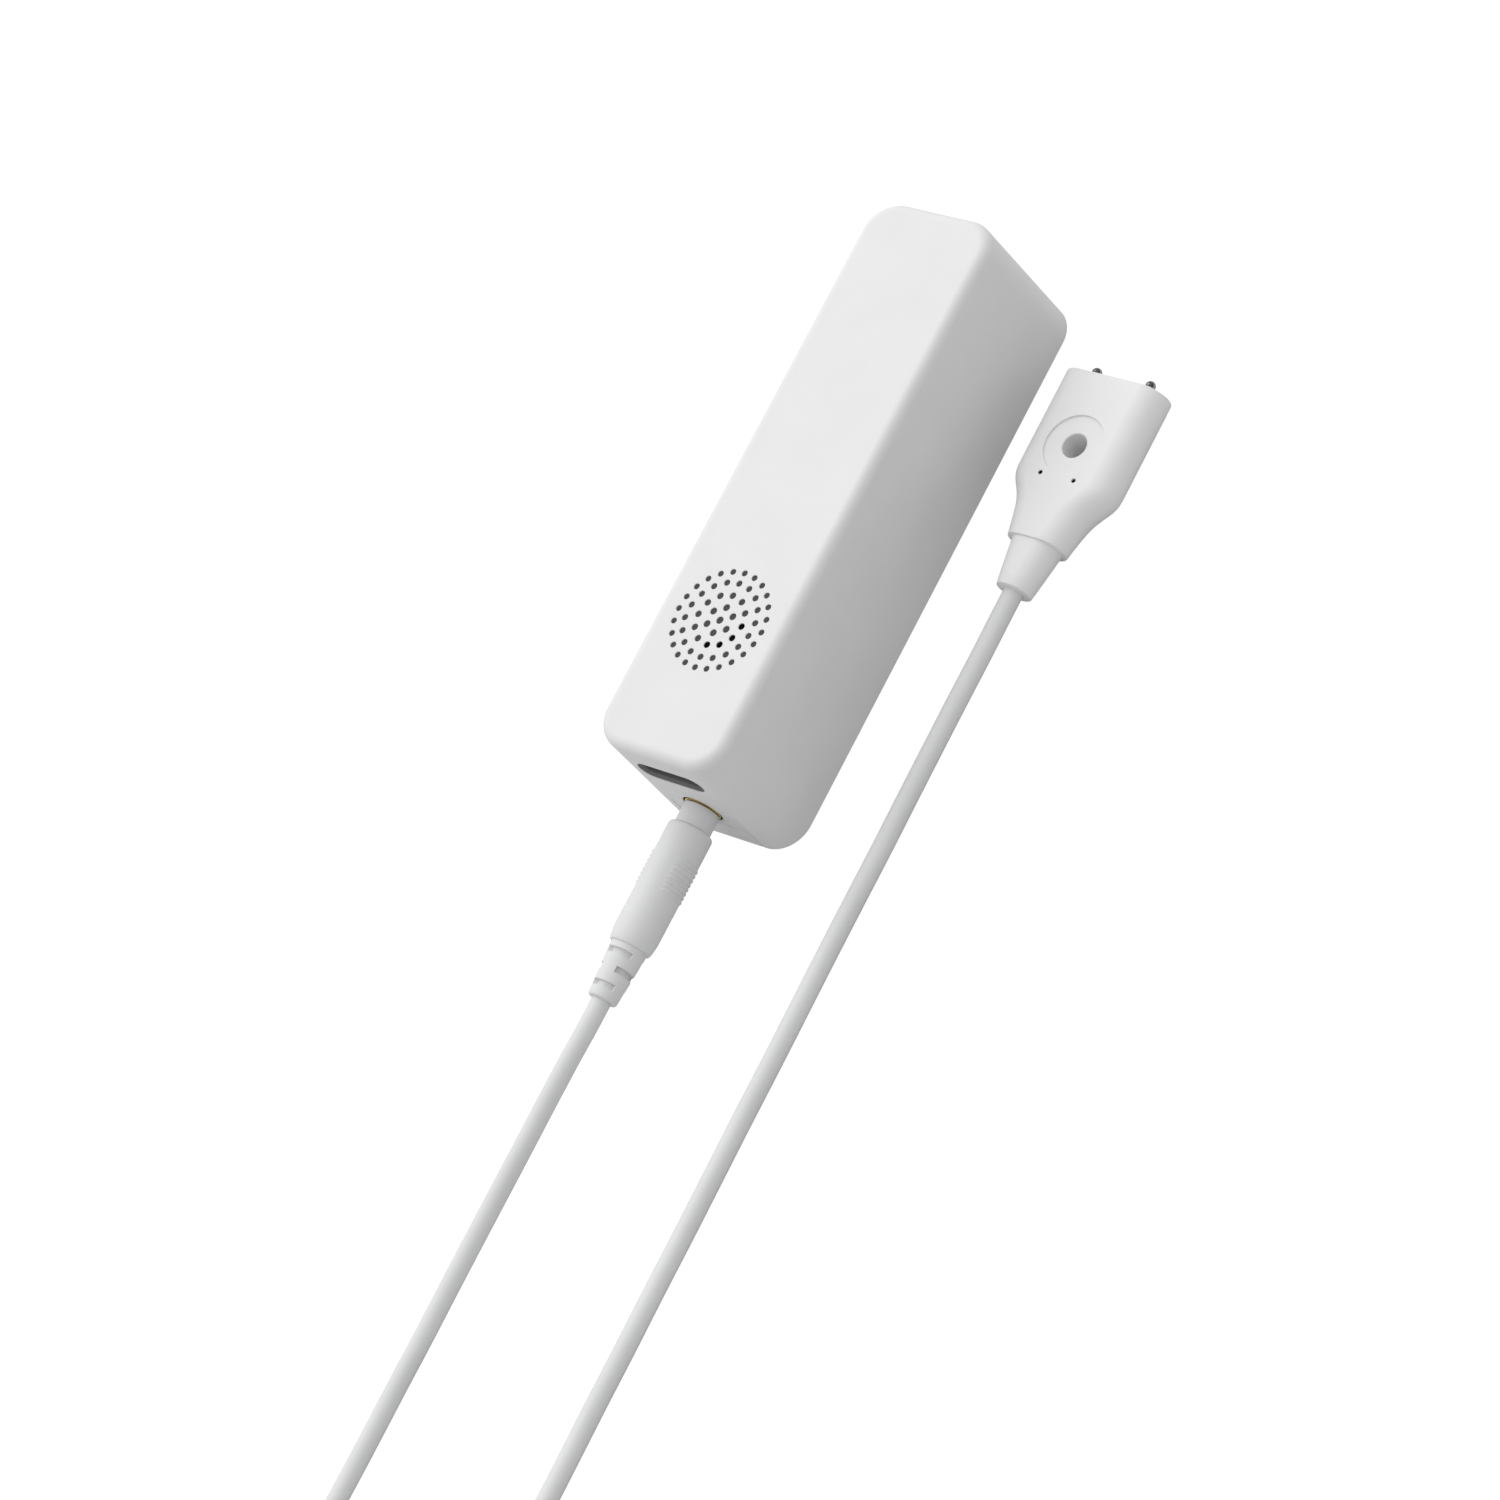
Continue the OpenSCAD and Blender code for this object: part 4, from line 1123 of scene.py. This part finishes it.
class LEAK_OT_plug(bpy.types.Operator):
    """Moulded handle with its grip ribs, and the slotted boot behind it"""
    bl_idname = "leak_alarm.plug"
    bl_label = "Plug"

    def execute(self, context):
        sizes = context.scene.leak_alarm_lead
        self.handle(sizes)
        self.boot(sizes)
        return {"FINISHED"}

    def handle(self, sizes):
        """Turned handle whose grip is raised into ribs at its sides."""
        full = HANDLE_RADIUS
        profile = [(0, 0), *edge_points(COLLAR_NOSE, COLLAR_RADIUS, 0),
                   *edge_points(COLLAR_GROOVE, COLLAR_RADIUS, COLLAR_LENGTH),
                   *edge_points(HANDLE_NOSE, full, COLLAR_LENGTH), (full, HANDLE_WAIST)]
        place = GRIP_START - 0.6 * MM
        profile.append((full, place))
        stop = GRIP_START + GRIP_COUNT * sizes.rib_pitch + 0.3 * MM
        while place < stop:
            place += sizes.rib_pitch / RIB_STEPS
            profile.append((full, place))
        straight = HANDLE_END - SHOULDER_LENGTH
        profile.append((full, (place + straight) / 2))
        profile += self.shoulder(straight)
        profile += [(SHOULDER_RADIUS - TAIL_CHAMFER, HANDLE_END), (0, HANDLE_END)]
        shape = turned(profile, 128)
        for v in shape.verts:
            radius = math.hypot(v.co.x, v.co.y)
            if radius > full - 0.1 * MM and GRIP_START - 0.5 * MM < v.co.z < stop:
                rise = sizes.rib_rise * self.rib(v.co, sizes)
                v.co.x *= (radius + rise) / radius
                v.co.y *= (radius + rise) / radius
        toward_near(shape, 0, PLUG_FACE, JACK_Z)
        dress(link_mesh("plug_handle_look", shape), "lead", "soft_moulding",
              ["plug_handle"], even=False)

    def shoulder(self, straight):
        """Points of the rounded shoulder that ends the handle."""
        points = []
        for i in range(SHOULDER_STEPS + 1):
            angle = math.pi / 2 * i / SHOULDER_STEPS
            into = (SHOULDER_LENGTH - 0.02 * MM) * math.sin(angle)
            drop = math.sqrt(1 - (into / SHOULDER_LENGTH) ** 2)
            radius = SHOULDER_RADIUS + (HANDLE_RADIUS - SHOULDER_RADIUS) * drop
            points.append((radius, straight + into))
        return points

    def rib(self, co, sizes):
        """Share of the full height of a rib at a point of the handle."""
        along = (co.z - GRIP_START - RIB_OFFSET) / sizes.rib_pitch
        nearest = round(along)
        if not 0 <= nearest < GRIP_COUNT:
            return 0.0
        off = abs(along - nearest) * 2
        ridge = smooth_step((RIB_SHARE - off) / RIB_SLOPE)
        angle = math.acos(min(1.0, abs(co.x) / math.hypot(co.x, co.y)))
        return ridge * smooth_step((GRIP_HALF_ANGLE - angle) / GRIP_FADE)

    def boot(self, sizes):
        """Tapered boot with three rows of windows that turn from row to row."""
        tall = size(BOOT).y
        profile = [(0, 0)] + [(boot_radius(tall * k / 10), tall * k / 10) for k in range(10)]
        for i in range(6):
            angle = math.pi / 2 * i / 5
            profile.append((boot_radius(tall) - BOOT_TAIL_IN * (1 - math.cos(angle)),
                            tall - BOOT_TAIL_LONG + BOOT_TAIL_LONG * math.sin(angle)))
        profile += [(BOOT_BORE, tall), (0, tall)]
        shape = toward_near(turned(profile, ROUND_STEPS), 0, BOOT[1].y, JACK_Z)
        boot = link_mesh("plug_boot_look", shape)
        windows = []
        for row in range(WINDOW_ROWS):
            place = WINDOW_START + WINDOW_STEP * row
            turn = 0 if row == 1 else math.pi / 2
            windows += [self.window(place, side + turn, sizes) for side in (0, math.pi)]
        carve(boot, "windows", *windows)
        dress(boot, "lead", "soft_moulding", ["plug_boot"], sharp=30)

    def window(self, place, centre, sizes):
        """Cutter of one window of the boot."""
        radius = boot_radius(place)
        shape = sector(radius - sizes.window_depth, radius + PAST, place - WINDOW_HALF,
                       place + WINDOW_HALF, centre - WINDOW_HALF_ANGLE, 2 * WINDOW_HALF_ANGLE)
        return toward_near(shape, 0, BOOT[1].y, JACK_Z)


# ---------------------------------------------------------------- probe

# Half width of the probe at a distance from its lip, both in millimetres
NECK = ((0, 6.5), (1.3, 6.78), (2.7, 7.1), (4.7, 7.6), (6.7, 8.2), (8, 8.78), (9.1, 9.4),
        (10.2, 10.15), (11.2, 10.85), (12.4, 11.45), (13.7, 11.75), (15.2, 11.8), (20, 11.8))
NECK_START, NECK_END, NECK_STEPS = 0.3, 15.2, 34
# Sections of the lip: distance, half width and how much thinner than the body
LIP = ((0, 6.36, 0.3), (0.03, 6.44, 0.21), (0.12, 6.5, 0.155))
# The lip end of the body is a little slimmer, fading out along the neck
NECK_SLIMMER = 0.15 * MM
NECK_FADE = 14
# Edge at the pins: distance from the end and how far in, in millimetres
END_EDGE = ((0.16, 0), (0.08, 0.02), (0.02, 0.08), (0, 0.16))
# Screw hole and small holes, from the end of the probe and from each other
SCREW_HOLE_BACK = 15.4 * MM
SMALL_HOLE_BACK = 7.1 * MM
SMALL_HOLE_HALF = 3.95 * MM
SMALL_HOLE_RADIUS = 0.47 * MM
SMALL_HOLE_DEPTH = 1.5 * MM
# Near black studs that fill the small holes and paint their shade
STUD_RADIUS = 0.46 * MM
STUD_LOW, STUD_HIGH = 1.8 * MM, 0.28 * MM
TOP_CHAMFER = 0.05 * MM
HOLE_CHAMFER_DEEP = 0.15 * MM
RECESS_CORNER = 0.06 * MM
# Pins: half their distance, the stem, the neck under the ball and the ball
PIN_HALF = 6.4 * MM
PIN_ROOT = 10 * MM
PIN_RADIUS = 0.9 * MM
PIN_SEAT_RADIUS = 0.95 * MM
PIN_NECK_RADIUS = 0.62 * MM
PIN_BALL = 1.05 * MM
BALL_START = -0.9
BALL_STEPS = 16
# Sleeve: radius at the lead, half sizes at the body, and the rounding of its end
SLEEVE_SMALL = 3.7 * MM
SLEEVE_WIDE, SLEEVE_THICK = 5.35 * MM, 4.1 * MM
SLEEVE_EDGE = ((0, 0.3), (0.03, 0.15), (0.1, 0.05), (0.25, 0))


class LEAK_OT_probe(bpy.types.Operator):
    """Flat probe with its screw hole, tapered sleeve and two contact pins"""
    bl_idname = "leak_alarm.probe"
    bl_label = "Probe"

    def execute(self, context):
        sizes = context.scene.leak_alarm_lead
        self.body(sizes)
        self.sleeve()
        self.pins()
        return {"FINISHED"}

    def body_sections(self):
        """Flat sections of the body from its lip to its pins."""
        place = middle(PROBE)
        lip, end = PROBE[0].y, PROBE[1].y
        full, thick = size(PROBE).x / 2, size(PROBE).z / 2
        sizes = [(lip + at * MM, half * MM, thick - thinner * MM) for at, half, thinner in LIP]
        for i in range(NECK_STEPS + 1):
            at = NECK_START + (NECK_END - NECK_START) * i / NECK_STEPS
            slim = NECK_SLIMMER * (1 - smooth_step(at / NECK_FADE))
            sizes.append((lip + at * MM, through(NECK, at) * MM, thick - slim))
        sizes += [(end - back * MM, full - inset * MM, thick - inset * MM)
                  for back, inset in END_EDGE]
        return [(y, place.x, place.z, half, half_thick) for y, half, half_thick in sizes]

    def body(self, sizes):
        """Lofted body with its holes, and the near black studs that fill the small ones with painted
        shade.
        """
        body = link_mesh("probe_body_look", stadium_loft(self.body_sections(), 24))
        place, top = middle(PROBE), PROBE[1].z
        hole_y = PROBE[1].y - SCREW_HOLE_BACK
        carve(body, "screw_hole", moved(self.screw_hole(sizes, top), place.x, hole_y))
        mouth = SMALL_HOLE_RADIUS + TOP_CHAMFER + PAST
        low = top - SMALL_HOLE_DEPTH
        hole = [(0, low), (SMALL_HOLE_RADIUS, low), (SMALL_HOLE_RADIUS, top - TOP_CHAMFER),
                (mouth, top + PAST), (0, top + PAST)]
        low, high = top - STUD_LOW, top - STUD_HIGH
        stud = [(0, low), (STUD_RADIUS, low), (STUD_RADIUS, high - 0.08 * MM),
                (STUD_RADIUS - 0.06 * MM, high - 0.02 * MM), (0, high)]
        spots = [(place.x + side * SMALL_HOLE_HALF, hole_y - SMALL_HOLE_BACK) for side in (-1, 1)]
        cutters = [moved(turned(hole, 24), *spot) for spot in spots]
        for side in (-1, 1):
            seat = turned([(0, -PAST), (PIN_SEAT_RADIUS, -PAST), (PIN_SEAT_RADIUS, PIN_ROOT),
                           (0, PIN_ROOT)], 32)
            cutters.append(toward_near(seat, place.x + side * PIN_HALF, PROBE[1].y, place.z))
        carve(body, "small_holes", *cutters)
        dress(body, "lead", "probe_plastic", ["probe_body"], sharp=32)
        # Near black studs in the small holes: painted shade
        studs = link_mesh("probe_hole_shade_studs_look", *(moved(turned(stud, 24), *spot) for spot in spots))
        dress(studs, "lead", "near_black_painted_shade", None)

    def screw_hole(self, sizes, top):
        """Cutter of the screw hole and the recess round it."""
        radius, wide = sizes.screw_hole / 2, sizes.recess / 2
        floor = top - sizes.recess_depth
        return turned([(0, -PAST), (radius, -PAST), (radius, floor - HOLE_CHAMFER_DEEP),
                       (radius + HOLE_CHAMFER_DEEP, floor), (wide - RECESS_CORNER, floor),
                       (wide, floor + RECESS_CORNER), (wide, top - TOP_CHAMFER),
                       (wide + TOP_CHAMFER + PAST, top + PAST), (0, top + PAST)], ROUND_STEPS)

    def sleeve(self):
        """Tapered sleeve, round at the lead and oval at the body."""
        lo, hi = SLEEVE
        x, z = middle(SLEEVE).x, middle(PROBE).z
        sections = []
        for back, inset in SLEEVE_EDGE:
            sections.append((lo.y + back * MM, x, z, SLEEVE_SMALL + 0.005 * MM - inset * MM,
                             SLEEVE_SMALL - 0.01 * MM - inset * MM))
        for k in range(1, 5):
            share = k / 4
            sections.append((lo.y + (hi.y - lo.y) * share, x, z,
                             SLEEVE_SMALL + (SLEEVE_WIDE - SLEEVE_SMALL) * share,
                             SLEEVE_SMALL + (SLEEVE_THICK - SLEEVE_SMALL) * share))
        body = link_mesh("probe_sleeve_look", stadium_loft(sections, 24))
        dress(body, "lead", "probe_plastic", ["probe_sleeve"], even=False)

    def pins(self):
        """Two turned pins with ball tips, their nickel darkened to paint dark reflections."""
        place, end = middle(PROBE), PROBE[1].y
        centre = PINS[1].y - end - PIN_BALL
        profile = [(0, -PIN_ROOT), (PIN_RADIUS, -PIN_ROOT), (PIN_RADIUS, centre - 0.75 * MM),
                   (PIN_NECK_RADIUS, centre - 0.84 * MM)]
        for i in range(BALL_STEPS):
            angle = BALL_START + (math.pi / 2 - BALL_START) * i / BALL_STEPS
            profile.append((PIN_BALL * math.cos(angle), centre + PIN_BALL * math.sin(angle)))
        profile.append((0, centre + PIN_BALL))
        pins = []
        for side in (-1, 1):
            pin = turned(profile, 40)
            turn = (Matrix.Translation((place.x + side * PIN_HALF, end, place.z))
                    @ Matrix.Rotation(math.radians(-90), 4, "X"))
            bmesh.ops.transform(pin, matrix=turn, verts=pin.verts)
            pins.append(pin)
        dress(link_mesh("probe_pins_look", *pins), "lead", "pin_plate_painted_dark_reflection",
              ["probe_pins"], sharp=40, even=False)


# ---------------------------------------------------------------- inside

INNER_FINISHES = {
    "jack_body": "black_plastic", "jack_tip_spring": "nickel_plate", "jack_pins": "nickel_plate",
    "button_switch": "black_plastic", "circuit_board": "board_laminate", "radio_module": "nickel_plate",
    "radio_antenna": "gold_plate", "main_chip": "black_plastic", "status_light": "clear_lens",
    "sounder_case": "sounder_black", "sounder_disc": "brass_disc", "sounder_gasket": "gasket_foam",
    "sounder_pins": "nickel_plate", "battery_tray": "tray_plastic", "battery_near": "cell_wrap",
    "battery_far": "cell_wrap", "battery_spring": "nickel_plate", "contact_near": "nickel_plate",
    "contact_far": "nickel_plate", "tray_screws": "nickel_plate", "plug_sleeve": "gold_plate",
    "plug_insulator": "black_plastic", "plug_core": "gold_plate", "plug_tip": "gold_plate",
    "probe_contacts": "gold_plate",
}


class LEAK_OT_inside(bpy.types.Operator):
    """Finishes of the parts inside the box and the plug"""
    bl_idname = "leak_alarm.inside"
    bl_label = "Inside"

    def execute(self, context):
        for node, finish in INNER_FINISHES.items():
            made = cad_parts[node]
            if not made.material_slots:
                made.data.materials.append(None)
            for place in made.material_slots:
                place.material = finish_named(finish)
        return {"FINISHED"}


# ---------------------------------------------------------------- panel

OPERATORS = (
    LEAK_OT_stage, LEAK_OT_lead, LEAK_OT_housing, LEAK_OT_back_cover, LEAK_OT_slot, LEAK_OT_jack,
    LEAK_OT_plug, LEAK_OT_probe, LEAK_OT_inside,
)
GROUPS = (
    ("leak_alarm_shell", LEAK_PG_shell), ("leak_alarm_lead", LEAK_PG_lead),
    ("leak_alarm_finish", LEAK_PG_finish), ("leak_alarm_stage", LEAK_PG_stage),
)


class LEAK_PT_panel(bpy.types.Panel):
    """Sizes, colours and the steps that build the alarm"""
    bl_idname = "LEAK_PT_panel"
    bl_label = "Leak alarm"
    bl_space_type = "VIEW_3D"
    bl_region_type = "UI"
    bl_category = "Leak alarm"

    def draw(self, context):
        for name, group in GROUPS:
            box = self.layout.box()
            box.label(text=group.__doc__)
            for setting in group.__annotations__:
                box.prop(getattr(context.scene, name), setting)
        for operator in OPERATORS:
            self.layout.operator(operator.bl_idname)


def register():
    """Adds the settings, the steps and the panel to Blender."""
    for name, group in GROUPS:
        bpy.utils.register_class(group)
        setattr(bpy.types.Scene, name, PointerProperty(type=group))
    for made in (*OPERATORS, LEAK_PT_panel):
        bpy.utils.register_class(made)


def unregister():
    """Takes them out again."""
    for made in (LEAK_PT_panel, *reversed(OPERATORS)):
        bpy.utils.unregister_class(made)
    for name, group in reversed(GROUPS):
        delattr(bpy.types.Scene, name)
        bpy.utils.unregister_class(group)


def main():
    """Builds the alarm."""
    register()
    bpy.ops.leak_alarm.stage()
    bpy.ops.leak_alarm.lead()
    bpy.ops.leak_alarm.housing()
    bpy.ops.leak_alarm.back_cover()
    bpy.ops.leak_alarm.slot()
    bpy.ops.leak_alarm.jack()
    bpy.ops.leak_alarm.plug()
    bpy.ops.leak_alarm.probe()
    bpy.ops.leak_alarm.inside()
    declare_lead()


if __name__ == "__main__":
    main()
